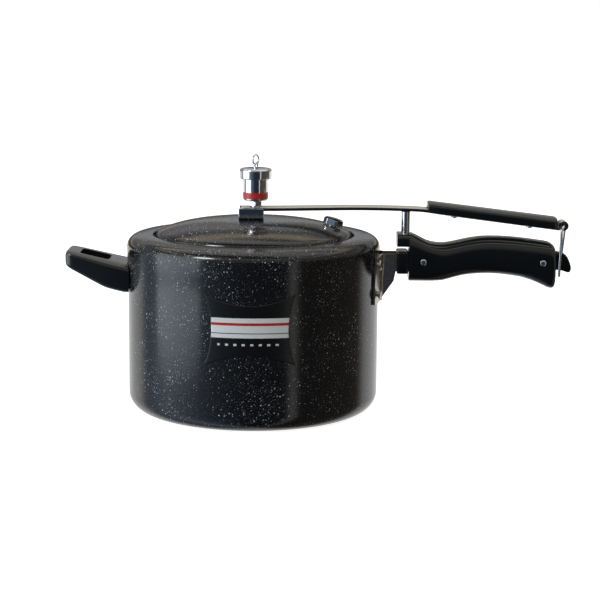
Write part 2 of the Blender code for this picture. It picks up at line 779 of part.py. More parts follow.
# Lid plate: dome, rolled edge and flange, pressed to an oval
flange_edge = LID_SIDE + LID_FLANGE
flange_top = rim_height(flange_edge) - POT_WALL - GASKET_THICKNESS - GAP * 2
edge_slope = (LID_CROWN - LID_DOME_EDGE) * LID_DOME_POWER / LID_DOME_RADIUS
roll_from = math.atan(edge_slope)
dome_end = LID_SIDE - LID_ROLL + LID_ROLL * math.sin(roll_from)
roll_centre = (LID_SIDE - LID_ROLL, dome_height(dome_end) - LID_ROLL * math.cos(roll_from))
dome = [(dome_end * i / 7, dome_height(dome_end * i / 7)) for i in range(7)]
roll_start = 90 - math.degrees(roll_from)
lid_profile = dome + arc(roll_centre, LID_ROLL, roll_start, 0, 5)
lid_profile += [
    (LID_SIDE, flange_top),
    (flange_edge, flange_top),
    (flange_edge, flange_top - LID_SHEET),
    (LID_SIDE - LID_SHEET, flange_top - LID_SHEET),
]
lid_profile += arc(roll_centre, LID_ROLL - LID_SHEET, 0, roll_start, 3)
lid_profile += [(radius - 0.0004, height - LID_SHEET) for radius, height in reversed(dome[1:])]
lid_profile.append((0.0, dome[0][1] - LID_SHEET))


def pressed_oval(piece):
    piece.data.transform(Matrix.Diagonal((1.0, OVAL, 1.0, 1.0)))
    return piece


lid = pressed_oval(turned("lid_plate", lid_profile, coated, steps=LID_STEPS))
gasket_low = flange_top + GAP
pressed_oval(
    turned(
        "lid_gasket",
        [(flange_edge, gasket_low + GASKET_THICKNESS), (flange_edge, gasket_low),
         (LID_SIDE + GAP, gasket_low), (LID_SIDE + GAP, gasket_low + GASKET_THICKNESS)],
        rubber,
        steps=LID_STEPS,
        closed=True,
    )
)

# Saddle: a channel across the crown that holds the bar's rolled end
saddle_top = saddle_floor + SADDLE_WALL_HEIGHT
inner_half = SADDLE_HALF - SADDLE_SHEET / 2
channel = [(-inner_half, saddle_top), (-inner_half, saddle_floor + SADDLE_SHEET / 2),
           (inner_half, saddle_floor + SADDLE_SHEET / 2), (inner_half, saddle_top)]
saddle = plate(
    "lid_saddle",
    strip(softened(channel, 0.0018), SADDLE_SHEET),
    (SADDLE_FRONT - SADDLE_BACK) / 2,
    steel,
    plane="YZ",
)
moved(saddle, ((SADDLE_FRONT + SADDLE_BACK) / 2, 0, 0))
boolean(saddle, rod("saddle_bore", (VENT_X, 0, 0), (VENT_X, 0, 1), VENT_THREAD + GAP))
boolean(saddle, rod("pin_bore", (PIN_X, -0.03, pin_height), (PIN_X, 0.03, pin_height),
                    PIN_RADIUS + GAP, sides=16))
rod("saddle_pin", (PIN_X, -SADDLE_HALF - 0.0008, pin_height), (PIN_X, SADDLE_HALF + 0.0008, pin_height),
    PIN_RADIUS, steel, sides=16)

# Lid bar: a bowed strip, rolled into an eye at each end
roll = EYE_BORE + BAR_SHEET / 2
roll_turn = 290
grip_slope = math.radians(-7.1)
inner_roll = arc((PIN_X, pin_height), roll, 90 + roll_turn, 90, 16)
meet_angle = 270 + math.degrees(grip_slope)
outer_roll = arc(OUTER_EYE, roll, meet_angle, meet_angle + roll_turn, 16)
outer_start = outer_roll[0]


def grip_line(x):
    """Height of the strip's middle along its straight outer run."""
    return outer_start[1] + (x - outer_start[0]) * math.tan(grip_slope)


bow = [inner_roll[-1], (PIN_X + 0.0284, inner_roll[-1][1] + 0.0002), (STAY_X - 0.0434, bar_at_stay + 0.0005),
       (STAY_X, bar_at_stay), (GRIP_START, grip_line(GRIP_START) + 0.0004),
       (GRIP_START + 0.0180, grip_line(GRIP_START + 0.0180)),
       (outer_start[0] - 0.004, grip_line(outer_start[0] - 0.004))]
middle = inner_roll[:-1] + catmull(bow, 5) + outer_roll
bar = plate("lid_bar", strip(middle, BAR_SHEET), BAR_HALF, chrome)
tilt_clearance = 0.0012
boolean(bar, rod("vent_clearance", (VENT_X, 0, 0), (VENT_X, 0, 1), STEM_RADIUS + tilt_clearance))
for side in (-1, 1):
    low, high = sorted((side * EYE_HALF, side * BAR_HALF * 2))
    boolean(bar, box("eye_trim", (GRIP_END + 0.0008, low, OUTER_EYE[1] - 0.02),
                     (OUTER_EYE[0] + 0.02, high, OUTER_EYE[1] + 0.02)))

# Bar grip: a moulding over the bar, open underneath
grip_outline = [
    (GRIP_START, grip_line(GRIP_START) - BAR_SHEET / 2),
    (GRIP_START, grip_line(GRIP_START) + GRIP_RISE_START),
    (GRIP_END, grip_line(GRIP_END) + GRIP_RISE_END),
    (GRIP_END, grip_line(GRIP_END) - BAR_SHEET / 2),
]
grip = plate("bar_grip", grip_outline, GRIP_HALF, black)
rounded_edges(grip, 0.0026)
channel_line = catmull(bow, 5)
channel_top = [(x, z + BAR_SHEET / 2 + GAP) for x, z in channel_line if x > STAY_X]
channel_end = OUTER_EYE[0] + 0.02
channel_top.append((channel_end, grip_line(channel_end) + BAR_SHEET / 2 + GAP))
channel_cut = channel_top + [(channel_end, OUTER_EYE[1] - 0.02), (STAY_X, OUTER_EYE[1] - 0.02)]
boolean(grip, plate("bar_channel", channel_cut, BAR_HALF + GAP))
mouth_low = grip_line(GRIP_START)
boolean(
    grip,
    box("grip_mouth", (GRIP_START - 0.005, -BAR_HALF - GAP, mouth_low),
        (GRIP_START + 0.0045, BAR_HALF + GAP, mouth_low + 0.0036)),
)
for number, x in enumerate(GRIP_SCREWS, 1):
    under = grip_line(x) - BAR_SHEET / 2 - GAP - 0.0004
    tip = grip_line(x) + min(GRIP_RISE_START, GRIP_RISE_END) - 0.0026
    turned(
        f"grip_screw_{number}",
        [(0.0, tip), (0.0016, tip), (0.0016, under), (0.0031, under), (0.0031, under - 0.0007),
         (0.0022, under - 0.0014), (0.0, under - 0.0014)],
        chrome,
        centre=(x, 0.0),
        steps=16,
    )
    ends = [(x, 0, under - 0.01), (x, 0, tip + GAP)]
    boolean(bar, rod("bar_screw_bore", *ends, 0.0016 + GAP * 1.5, sides=16))
    boolean(grip, rod("grip_screw_bore", *ends, 0.0016 + GAP * 1.5, sides=16))

# Lock loop: a wire bail, its top run through the bar's outer eye
eye_x, eye_z = OUTER_EYE
loop_foot = eye_z - LOOP_LENGTH
near_top, near_foot = -0.0024, -0.0034
far_top, far_foot = 0.0040, 0.0000
loop_corners = [
    (eye_x, -EYE_HALF - 0.0015, eye_z),
    (eye_x + near_top, -LOOP_HALF, eye_z - 0.0030),
    (eye_x + near_foot, -LOOP_HALF, loop_foot + 0.0025),
    (eye_x + near_foot * 0.8, -LOOP_HALF + 0.0025, loop_foot),
    (eye_x + far_foot, LOOP_HALF - 0.0025, loop_foot),
    (eye_x + far_foot + 0.0002, LOOP_HALF, loop_foot + 0.0025),
    (eye_x + far_top, LOOP_HALF, eye_z - 0.0030),
    (eye_x, EYE_HALF + 0.0015, eye_z),
]
wire = bpy.data.curves.new("lock_loop", "CURVE")
wire.dimensions = "3D"
wire.bevel_depth = LOOP_WIRE
wire.bevel_resolution = 2
corner_path = []
for i, point in enumerate(loop_corners):
    point = Vector(point)
    before = Vector(loop_corners[i - 1])
    after = Vector(loop_corners[(i + 1) % len(loop_corners)])
    reach_in = min(0.0016, (before - point).length * 0.4)
    reach_out = min(0.0016, (after - point).length * 0.4)
    first = point + (before - point).normalized() * reach_in
    last = point + (after - point).normalized() * reach_out
    for t in (0.0, 0.33, 0.67, 1.0):
        corner_path.append(first.lerp(point, t).lerp(point.lerp(last, t), t))
spline = wire.splines.new("POLY")
spline.points.add(len(corner_path) - 1)
for point, co in zip(spline.points, corner_path):
    point.co = (*co, 1.0)
spline.use_cyclic_u = True
loop_mesh = curve_mesh("lock_loop", wire)
round_shading(loop_mesh, 50)
place("lock_loop", loop_mesh, chrome)

# Vent pipe: nozzle, hexagonal collar, stem and thread, bored right through
collar_low = inner_roll[-1][1] + BAR_SHEET / 2 + tilt_clearance
collar_top = collar_low + COLLAR_HEIGHT
nozzle_top = collar_top + NOZZLE_HEIGHT
crown_under = POT_HEIGHT + LID_CROWN - LID_SHEET
vent_foot = crown_under - 0.0115
vent = turned(
    "vent_pipe",
    [(0.0, nozzle_top), (NOZZLE_RADIUS - 0.0004, nozzle_top), (NOZZLE_RADIUS, nozzle_top - 0.0010),
     (NOZZLE_RADIUS, collar_top - 0.0005), (STEM_RADIUS, collar_top - 0.0005),
     (STEM_RADIUS, saddle_web + GAP), (VENT_THREAD, saddle_web + GAP), (VENT_THREAD, vent_foot),
     (0.0, vent_foot)],
    chrome,
    centre=(VENT_X, 0.0),
    steps=24,
)
boolean(vent, rod("collar", (VENT_X, 0, collar_low), (VENT_X, 0, collar_top),
                  COLLAR_FLATS / math.sqrt(3), sides=6), "UNION")
boolean(
    vent,
    turned(
        "vent_bore",
        [(0.0, nozzle_top + 0.001), (VENT_BORE + 0.0009, nozzle_top + 0.001),
         (VENT_BORE + 0.0009, nozzle_top), (VENT_BORE, nozzle_top - 0.0011),
         (VENT_BORE, vent_foot - 0.001), (0.0, vent_foot - 0.001)],
        None,
        centre=(VENT_X, 0.0),
        steps=16,
    ),
)
boolean(lid, rod("lid_vent_bore", (VENT_X, 0, 0), (VENT_X, 0, 1), VENT_THREAD + GAP))
washer_top = crown_under - GAP - 0.0003
washer_low = washer_top - 0.0012
turned(
    "vent_washer",
    [(0.0078, washer_top), (0.0078, washer_low), (VENT_THREAD + GAP, washer_low),
     (VENT_THREAD + GAP, washer_top)],
    rubber,
    centre=(VENT_X, 0.0),
    steps=28,
    closed=True,
)
nut_top = washer_low - GAP
vent_nut = rod("vent_nut", (VENT_X, 0, nut_top - 0.0050), (VENT_X, 0, nut_top), 0.0075, steel, sides=6)
boolean(vent_nut, rod("vent_nut_bore", (VENT_X, 0, 0), (VENT_X, 0, 1), VENT_THREAD + GAP))

# Safety valve: stands square to the dome, so all of it is built upright and tilted
dome_slope = (dome_height(VALVE_X + 0.001) - dome_height(VALVE_X - 0.001)) / 0.002
tilt = (Matrix.Translation((VALVE_X, 0, dome_height(VALVE_X)))
        @ Matrix.Rotation(-math.atan(dome_slope), 4, "Y"))
seat = 0.0010  # the dome falls away from the flat underside of the hexagon
valve_foot = -LID_SHEET - 0.0085
valve = turned(
    "safety_valve_body",
    [(0.0036, seat + VALVE_HEIGHT), (VALVE_FLATS * 0.46, seat + VALVE_HEIGHT),
     (VALVE_FLATS * 0.56, seat + VALVE_HEIGHT - 0.0012), (VALVE_FLATS * 0.56, seat),
     (VALVE_THREAD, seat), (VALVE_THREAD, valve_foot), (0.0016, valve_foot),
     (0.0016, seat + 0.0030), (0.0036, seat + 0.0030)],
    chrome,
    steps=36,
    closed=True,
)
hexagon = rod("valve_hexagon", (0, 0, valve_foot - 0.01), (0, 0, 0.02), VALVE_FLATS / math.sqrt(3), sides=6)
hexagon.data.transform(Matrix.Rotation(math.radians(12), 4, "Z"))
boolean(valve, hexagon, "INTERSECT")
plug = turned(
    "fusible_plug",
    [(0.0, seat + VALVE_HEIGHT - 0.0008), (0.0033, seat + VALVE_HEIGHT - 0.0010),
     (0.0033, seat + 0.0034), (0.0, seat + 0.0034)],
    alloy,
    steps=24,
)
washer = turned(
    "safety_washer",
    [(0.0072, -LID_SHEET - 0.0012), (0.0072, -LID_SHEET - 0.0024),
     (VALVE_THREAD + GAP, -LID_SHEET - 0.0024), (VALVE_THREAD + GAP, -LID_SHEET - 0.0012)],
    rubber,
    steps=28,
    closed=True,
)
valve_nut = rod("safety_nut", (0, 0, -LID_SHEET - 0.0070), (0, 0, -LID_SHEET - 0.0027), 0.0072, steel, sides=6)
nut_bore = rod("safety_nut_bore", (0, 0, -0.02), (0, 0, 0.02), VALVE_THREAD + GAP)
lid_bore = rod("valve_bore", (0, 0, -0.02), (0, 0, 0.02), VALVE_THREAD + GAP)
for piece in (valve, hexagon, plug, washer, valve_nut, nut_bore, lid_bore):
    piece.data.transform(tilt)
boolean(valve_nut, nut_bore)
boolean(lid, lid_bore)

# Weight: a hollow turned body, a wider head, a red ring and a cone inside
weight_low = collar_top + 0.0008
weight_top = weight_low + WEIGHT_HEIGHT
band_low = weight_low + 0.0016
groove = WEIGHT_RADIUS - BAND_DEPTH
cone_shank = 0.0020
roof = nozzle_top + 0.0012
turned(
    "weight_body",
    [(cone_shank + GAP, weight_top), (WEIGHT_RADIUS, weight_top),
     (WEIGHT_RADIUS, band_low + BAND_HEIGHT + GAP), (groove, band_low + BAND_HEIGHT + GAP),
     (groove, band_low - GAP), (WEIGHT_RADIUS, band_low - GAP),
     (WEIGHT_RADIUS, weight_low + 0.0005), (WEIGHT_RADIUS - 0.0005, weight_low),
     (WEIGHT_BORE, weight_low), (WEIGHT_BORE, roof), (cone_shank + GAP, roof)],
    chrome,
    centre=(VENT_X, 0.0),
    steps=32,
    closed=True,
)
turned(
    "weight_band",
    [(WEIGHT_RADIUS + 0.0003, band_low + BAND_HEIGHT), (WEIGHT_RADIUS + 0.0003, band_low),
     (groove + GAP, band_low), (groove + GAP, band_low + BAND_HEIGHT)],
    red,
    centre=(VENT_X, 0.0),
    steps=32,
    closed=True,
)
cap_low = weight_top + GAP
cap_top = cap_low + CAP_HEIGHT
stud_shank = 0.0015
cone_top = cap_low + 0.0018
stud_foot = cone_top + 0.0022
cap_profile = [(stud_shank + GAP, cap_top)]
cap_profile += arc((CAP_RADIUS - 0.0020, cap_top - 0.0020), 0.0020, 90, 0, 3)
cap_profile += [
    (CAP_RADIUS, cap_low + 0.0006), (CAP_RADIUS - 0.0006, cap_low),
    (cone_shank + GAP, cap_low), (cone_shank + GAP, cone_top + GAP),
    (0.0, cone_top + GAP),
]
cap = turned("weight_cap", [(0.0, cap_top)] + cap_profile[1:], chrome, centre=(VENT_X, 0.0), steps=32)
boolean(cap, rod("stud_bore", (VENT_X, 0, stud_foot - GAP), (VENT_X, 0, cap_top + 0.01),
                 stud_shank + GAP, sides=20))
turned(
    "weight_cone",
    [(0.0, cone_top), (cone_shank, cone_top), (cone_shank, roof - GAP), (0.0032, roof - GAP),
     (0.0032, nozzle_top + GAP), (0.0020, nozzle_top + GAP), (0.0003, nozzle_top - 0.0020),
     (0.0, nozzle_top - 0.0020)],
    steel,
    centre=(VENT_X, 0.0),
    steps=24,
)

# Ring stud: a screw with a flat eye
hole_height = cap_top + 0.0032
ring_way = Vector((math.cos(math.radians(RING_TURN)), math.sin(math.radians(RING_TURN)), 0.0))
eye_centre = Vector((VENT_X, 0.0, hole_height))
stud = turned(
    "ring_stud",
    [(0.0, cap_top + 0.0018), (0.0022, cap_top + 0.0016), (0.0022, cap_top + GAP),
     (stud_shank, cap_top + GAP), (stud_shank, stud_foot), (0.0, stud_foot)],
    chrome,
    centre=(VENT_X, 0.0),
    steps=24,
)
half_eye = ring_way * 0.0010
boolean(stud, rod("stud_eye", eye_centre - half_eye, eye_centre + half_eye, 0.0025), "UNION")
boolean(stud, rod("stud_hole", eye_centre - ring_way * 0.01, eye_centre + ring_way * 0.01,
                  RING_WIRE + GAP * 2, sides=16))

# Lift ring: stands in the stud's eye
bpy.ops.mesh.primitive_torus_add(
    major_radius=RING_RADIUS, minor_radius=RING_WIRE, major_segments=24, minor_segments=8
)
ring_maker = bpy.context.object
ring_mesh = ring_maker.data.copy()
bpy.data.objects.remove(ring_maker)
ring_mesh.name = "lift_ring"
ring_mesh.transform(
    Matrix.Translation((VENT_X, 0, hole_height + RING_RADIUS))
    @ Matrix.Rotation(math.radians(RING_TURN), 4, "Z")
    @ Matrix.Rotation(math.radians(90), 4, "X")
)
round_shading(ring_mesh, 60)
place("lift_ring", ring_mesh, chrome)
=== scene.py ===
import math

import bmesh
import bpy
from mathutils import Matrix, Vector


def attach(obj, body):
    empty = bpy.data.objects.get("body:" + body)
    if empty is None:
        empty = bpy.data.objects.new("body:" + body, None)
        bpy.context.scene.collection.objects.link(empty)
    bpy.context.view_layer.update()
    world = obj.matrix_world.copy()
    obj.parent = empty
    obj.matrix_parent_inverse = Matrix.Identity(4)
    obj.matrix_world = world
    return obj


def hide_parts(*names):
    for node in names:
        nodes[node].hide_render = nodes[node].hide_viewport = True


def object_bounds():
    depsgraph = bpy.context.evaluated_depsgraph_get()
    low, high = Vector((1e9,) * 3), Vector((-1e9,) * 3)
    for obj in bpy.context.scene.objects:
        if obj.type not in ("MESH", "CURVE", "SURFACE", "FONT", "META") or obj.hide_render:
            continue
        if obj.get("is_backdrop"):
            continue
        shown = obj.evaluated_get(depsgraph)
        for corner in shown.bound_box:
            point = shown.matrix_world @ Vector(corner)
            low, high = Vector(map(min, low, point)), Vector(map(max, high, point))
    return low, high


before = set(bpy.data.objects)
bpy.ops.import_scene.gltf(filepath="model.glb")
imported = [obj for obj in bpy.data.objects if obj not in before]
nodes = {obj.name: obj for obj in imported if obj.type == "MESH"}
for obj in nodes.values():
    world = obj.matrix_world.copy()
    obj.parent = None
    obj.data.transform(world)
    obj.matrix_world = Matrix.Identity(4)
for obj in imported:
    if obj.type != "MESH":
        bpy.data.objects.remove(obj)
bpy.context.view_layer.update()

scene = bpy.context.scene
scene.view_settings.view_transform = "Standard"

# Camera: a long lens a little above the rim, square to the handle's length, as in a
# catalogue shot.
camera = bpy.data.objects.new("camera", bpy.data.cameras.new("camera"))
camera.data.lens = 105.06
camera.data.sensor_width = 36.0
camera.data.clip_end = 50.0
look_right = Vector((0.99996, 0.00153, 0.00862))
look_up = Vector((-0.00876, 0.17476, 0.98457))
look_back = look_right.cross(look_up)
camera.matrix_world = Matrix.Translation((0.04123, -1.52602, 0.36603)) @ Matrix(
    (look_right, look_up, look_back)
).transposed().to_4x4()
scene.collection.objects.link(camera)
scene.camera = camera


# Studio: a white floor under a few soft lamps. The surroundings are bright at the left, dark
# in front and banded overhead, which gives the gloss and the metal their light and dark bands.
class Wire:
    """The end of a wire in a material. Sums on it add Math nodes."""

    def __init__(self, tree, end):
        self.tree = tree
        self.end = end

    def node(self, kind, settings, values, output=0):
        made = self.tree.nodes.new(kind)
        for name, value in settings.items():
            if name == "stops":
                while len(made.color_ramp.elements) < len(value):
                    made.color_ramp.elements.new(0.5)
                for stop, (place, colour) in zip(made.color_ramp.elements, value):
                    stop.position = place
                    stop.color = (*colour, 1.0)
            else:
                setattr(made, name, value)
        for name, value in values.items():
            if isinstance(value, Wire):
                self.tree.links.new(value.end, made.inputs[name])
            else:
                made.inputs[name].default_value = value
        return Wire(self.tree, made.outputs[output])

    def maths(self, operation, *values):
        return self.node("ShaderNodeMath", {"operation": operation}, dict(enumerate(values)))

    def __add__(self, other):
        return self.maths("ADD", self, other)

    __radd__ = __add__

    def __sub__(self, other):
        return self.maths("SUBTRACT", self, other)

    def __rsub__(self, other):
        return self.maths("SUBTRACT", other, self)

    def __mul__(self, other):
        return self.maths("MULTIPLY", self, other)

    __rmul__ = __mul__

    def __truediv__(self, other):
        return self.maths("DIVIDE", self, other)

    def __abs__(self):
        return self.maths("ABSOLUTE", self)

    def rise(self, low, high):
        """0 below low, 1 above high, and smooth between."""
        settings = {"interpolation_type": "SMOOTHSTEP"}
        return self.node("ShaderNodeMapRange", settings, {"Value": self, 1: low, 2: high})

    def blend(self, first, second):
        """A colour between two, with this wire as the share of the second."""
        values = {"Factor": self, 6: first, 7: second}
        return self.node("ShaderNodeMix", {"data_type": "RGBA"}, values, 2)

    def noise(self, scale, detail=2.0, roughness=0.5, stretch=(1, 1, 1)):
        place = self
        if stretch != (1, 1, 1):
            place = self.node("ShaderNodeMapping", {}, {"Vector": self, "Scale": stretch})
        values = {"Vector": place, "Scale": scale, "Detail": detail, "Roughness": roughness}
        return self.node("ShaderNodeTexNoise", {}, values)

    def bump(self, height, strength, distance):
        values = {"Height": height, "Strength": strength, "Distance": distance}
        return self.node("ShaderNodeBump", {}, values)

    def axes(self):
        return [self.node("ShaderNodeSeparateXYZ", {}, {"Vector": self}, i) for i in range(3)]


def blank_finish(name, **fixed):
    """A material, its shader, and a wire that carries the place on the piece."""
    made = bpy.data.materials.new(name)
    made.use_nodes = True
    tree = made.node_tree
    shader = tree.nodes["Principled BSDF"]
    for socket, value in fixed.items():
        shader.inputs[socket.replace("_", " ")].default_value = value
    return made, Wire(tree, tree.nodes.new("ShaderNodeTexCoord").outputs["Object"])


def wear(material, **wires):
    """Plugs wires into the material's shader."""
    tree = material.node_tree
    for socket, wire in wires.items():
        tree.links.new(wire.end, tree.nodes["Principled BSDF"].inputs[socket.replace("_", " ")])


def solid_object(name, shape, material=None, smooth=35):
    """A bmesh made an object, with its doubles merged and its faces turned outwards."""
    bmesh.ops.remove_doubles(shape, verts=shape.verts, dist=1e-6)
    bmesh.ops.recalc_face_normals(shape, faces=shape.faces)
    mesh = bpy.data.meshes.new(name)
    shape.to_mesh(mesh)
    shape.free()
    mesh.shade_smooth()
    mesh.set_sharp_from_angle(angle=math.radians(smooth))
    if material:
        mesh.materials.append(material)
    piece = bpy.data.objects.new(name, mesh)
    scene.collection.objects.link(piece)
    return piece


def refinish(node, material):
    """Gives a CAD node a better material."""
    nodes[node].data.materials.clear()
    nodes[node].data.materials.append(material)


def stands_for(piece, body, *cad_nodes):
    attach(piece, body)
    if cad_nodes:
        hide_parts(*cad_nodes)


floor_white, place = blank_finish(
    "white_floor", Base_Color=(0.86, 0.86, 0.86, 1), Roughness=0.9,
    Emission_Color=(1, 1, 1, 1), Emission_Strength=0.90,
)
sheet = bmesh.new()
bmesh.ops.create_grid(sheet, x_segments=1, y_segments=1, size=40.0)
floor = solid_object("floor", sheet, floor_white)
floor.visible_glossy = False
floor.visible_diffuse = False
floor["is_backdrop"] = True

world = bpy.data.worlds.new("studio")
world.use_nodes = True
scene.world = world
sky = world.node_tree
way = Wire(sky, sky.nodes.new("ShaderNodeTexCoord").outputs["Generated"])
east, north, up = way.axes()
around = east.maths("ARCTAN2", east, north * -1.0) / math.tau + 0.5
height = up.maths("ARCSINE", up) / math.pi + 0.5
AROUND = [
    # share of a turn, from behind by the left to behind by the right
    (0.00, (0.50, 0.52, 0.54)), (0.10, (0.10, 0.11, 0.12)), (0.20, (0.16, 0.20, 0.25)),
    (0.27, (0.36, 0.45, 0.54)), (0.35, (0.16, 0.20, 0.26)), (0.42, (0.050, 0.065, 0.085)),
    (0.48, (0.012, 0.016, 0.026)), (0.590, (0.010, 0.012, 0.016)), (0.600, (0.42, 0.42, 0.40)),
    (0.610, (0.42, 0.42, 0.40)), (0.620, (0.030, 0.026, 0.022)), (0.75, (0.055, 0.048, 0.040)),
    (0.90, (0.080, 0.066, 0.050)), (0.955, (0.45, 0.39, 0.31)), (1.00, (0.52, 0.50, 0.48)),
]
UPWARDS = [
    # (degrees over the floor + 90) / 180
    (0.470, (0.50, 0.50, 0.50)), (0.478, (0.55, 0.42, 0.22)), (0.488, (0.48, 0.34, 0.16)),
    (0.494, (0.02, 0.02, 0.02)), (0.528, (0.03, 0.03, 0.03)), (0.540, (0.26, 0.27, 0.29)),
    (0.556, (0.30, 0.31, 0.33)), (0.566, (0.10, 0.09, 0.075)), (0.600, (0.17, 0.16, 0.145)),
    (0.640, (0.24, 0.25, 0.27)), (0.690, (0.05, 0.05, 0.055)), (0.735, (0.62, 0.52, 0.38)),
    (0.755, (0.62, 0.52, 0.38)), (0.775, (0.03, 0.03, 0.03)), (1.000, (0.05, 0.05, 0.055)),
]
front = around.node("ShaderNodeValToRGB", {"stops": AROUND}, {"Fac": around})
back = height.node("ShaderNodeValToRGB", {"stops": UPWARDS}, {"Fac": height})
high = up.rise(0.10, 0.22)
shown = high.maths("MAXIMUM", high, north.rise(0.35, 0.60)).blend(front, back)
seen = Wire(sky, sky.nodes.new("ShaderNodeLightPath").outputs["Is Camera Ray"])
shown = seen.blend(shown, (0.5, 0.5, 0.5, 1))
background = sky.nodes["Background"]
background.inputs["Strength"].default_value = 2.0
sky.links.new(shown.end, background.inputs["Color"])


def panel(name, place, aim, size, power, colour):
    """A soft rectangular lamp at a place, facing a point."""
    lamp = bpy.data.lights.new(name, "AREA")
    lamp.shape = "RECTANGLE"
    lamp.size, lamp.size_y = size
    lamp.energy = power
    lamp.color = colour
    holder = bpy.data.objects.new(name, lamp)
    way = Vector(aim) - Vector(place)
    turn = way.to_track_quat("-Z", "Y").to_matrix().to_4x4()
    holder.matrix_world = Matrix.Translation(place) @ turn
    scene.collection.objects.link(holder)


panel("left_window", (-1.5, -0.55, 0.35), (0, 0, 0.08), (1.5, 1.3), 12.0, (0.86, 0.94, 1.0))
panel("overhead", (0.1, 0.25, 1.6), (0, 0, 0.1), (2.4, 1.2), 9.0, (1.0, 1.0, 1.0))
panel("high_left", (-1.1, -1.0, 1.15), (-0.05, 0, 0.14), (0.45, 0.30), 10.0, (0.92, 0.97, 1.0))

# Pot: deep-drawn aluminium with a hard dark coat, flecked with white. The wall leans out a
# little to a round shoulder, and the rim is turned in, rising slightly to an oval mouth.
POT_RADIUS = 0.1100
POT_HEIGHT = 0.1541
POT_WALL = 0.0028
BASE_FILLET = 0.0155
MOUTH = 0.0880
OVAL = 0.1650 / 0.1760
SWELL = 0.0010
SWELL_HEIGHT = 0.030
TURN_RADIUS = 0.1030
RIM_SLOPE = 0.14
rim_tilt = math.atan(RIM_SLOPE)
SHOULDER_FILLET = (POT_RADIUS + SWELL - TURN_RADIUS) / (1 - math.sin(rim_tilt))


def rim_height(radius):
    """Top of the rim: highest at the mouth, and falling outwards more and more."""
    out = max(radius - MOUTH, 0.0)
    return POT_HEIGHT - RIM_SLOPE * out * out / (2 * (TURN_RADIUS - MOUTH))


shoulder_low = rim_height(TURN_RADIUS) - SHOULDER_FILLET * math.cos(rim_tilt)


def wall_radius(height):
    """Outside radius of the wall: it swells over the last 30 mm under the shoulder."""
    t = min(max((height - shoulder_low + SWELL_HEIGHT) / SWELL_HEIGHT, 0.0), 1.0)
    return POT_RADIUS + SWELL * t * t * (3 - 2 * t)


def arc(centre, radius, start, end, count):
    """Points along an arc, angles in degrees."""
    steps = [math.radians(start + (end - start) * i / count) for i in range(count + 1)]
    return [(centre[0] + radius * math.cos(a), centre[1] + radius * math.sin(a)) for a in steps]


def spun_shape(profile, steps, closed=False):
    """A bmesh spun round Z from (radius, height) points."""
    shape = bmesh.new()
    points = [shape.verts.new((max(radius, 0.0), 0.0, height)) for radius, height in profile]
    for first, second in zip(points, points[1:]):
        shape.edges.new((first, second))
    if closed:
        shape.edges.new((points[-1], points[0]))
    bmesh.ops.spin(
        shape, geom=shape.verts[:] + shape.edges[:], cent=(0, 0, 0), axis=(0, 0, 1),
        angle=math.tau, steps=steps, use_merge=True,
    )
    bmesh.ops.remove_doubles(shape, verts=shape.verts, dist=1e-6)
    return shape


def pot_shell(inset):
    """Half of the pot's section from the lip to the base, on the outside or the inside."""
    shoulder = (POT_RADIUS + SWELL - SHOULDER_FILLET, shoulder_low)
    base = (POT_RADIUS - BASE_FILLET, BASE_FILLET)
    points = [(MOUTH + r, rim_height(MOUTH + r) - inset) for r in (0.004, 0.0065, 0.009, 0.0115, 0.0135)]
    points += arc(shoulder, SHOULDER_FILLET - inset, 90 - math.degrees(rim_tilt), 0, 16)
    for i in range(1, 9):
        height = shoulder_low - SWELL_HEIGHT * i / 8
        points.append((wall_radius(height) - inset, height))
    points += [(POT_RADIUS - inset, 0.086), (POT_RADIUS - inset, 0.050)]
    points += arc(base, BASE_FILLET - inset, 0, -90, 16)
    return points + [(0.060, inset), (0.0, inset)]


lip = arc((MOUTH + 0.0009, POT_HEIGHT - 0.0009), 0.0009, 90, 180, 5)
lip += arc((MOUTH + 0.0009, POT_HEIGHT - POT_WALL + 0.0009), 0.0009, 180, 270, 5)
pot_shape = spun_shape(pot_shell(0.0)[::-1] + lip + pot_shell(POT_WALL), 192)
mouth_verts = [
    v for v in pot_shape.verts if v.co.z > POT_HEIGHT - 0.004 and v.co.xy.length < MOUTH + 0.0045
]
bmesh.ops.scale(pot_shape, vec=(1.0, OVAL, 1.0), verts=mouth_verts)


def flecked_coat(name):
    """Charcoal enamel with scattered white flecks of many sizes, thickest in drifts."""
    material, place = blank_finish(name, Specular_IOR_Level=0.5)
    wobble = place.noise(1400.0, 1.0)
    flecks = 0.0
    drift = place.noise(34.0, 2.0, 0.6).rise(0.30, 0.70)
    for cells, least, most, shine in (
        (980.0, 0.12, 0.32, 0.40), (430.0, 0.10, 0.26, 0.80), (240.0, 0.06, 0.18, 0.95),
    ):
        values = {"Vector": place, "Scale": cells, "Randomness": 1.0}
        spots = place.node("ShaderNodeTexVoronoi", {}, values)
        tint = place.node("ShaderNodeTexVoronoi", {}, values, "Color").axes()
        size = (tint[0] * tint[0] * (most - least) + least) * (drift * 0.45 + 0.65)
        edge = spots + (wobble - 0.5) * 0.14
        fleck = (size + 0.02 - edge).rise(0.0, 0.07)
        flecks = fleck * (tint[2] * 0.7 + 0.3) * shine + flecks
    flecks = flecks.maths("MINIMUM", flecks, 1.0)
    mottle = place.noise(160.0, 3.0, 0.6)
    ground = mottle.blend((0.0060, 0.0062, 0.0068, 1), (0.013, 0.0135, 0.0150, 1))
    fine = place.noise(2600.0, 2.0, 0.6)
    wear(
        material,
        Base_Color=flecks.blend(ground, (0.70, 0.76, 0.84, 1)),
        Roughness=fine * 0.06 + 0.12 + flecks * 0.15,
        Normal=place.bump(fine * 0.5 + flecks * 0.5 + mottle * 0.5, 0.20, 0.00012),
    )
    return material


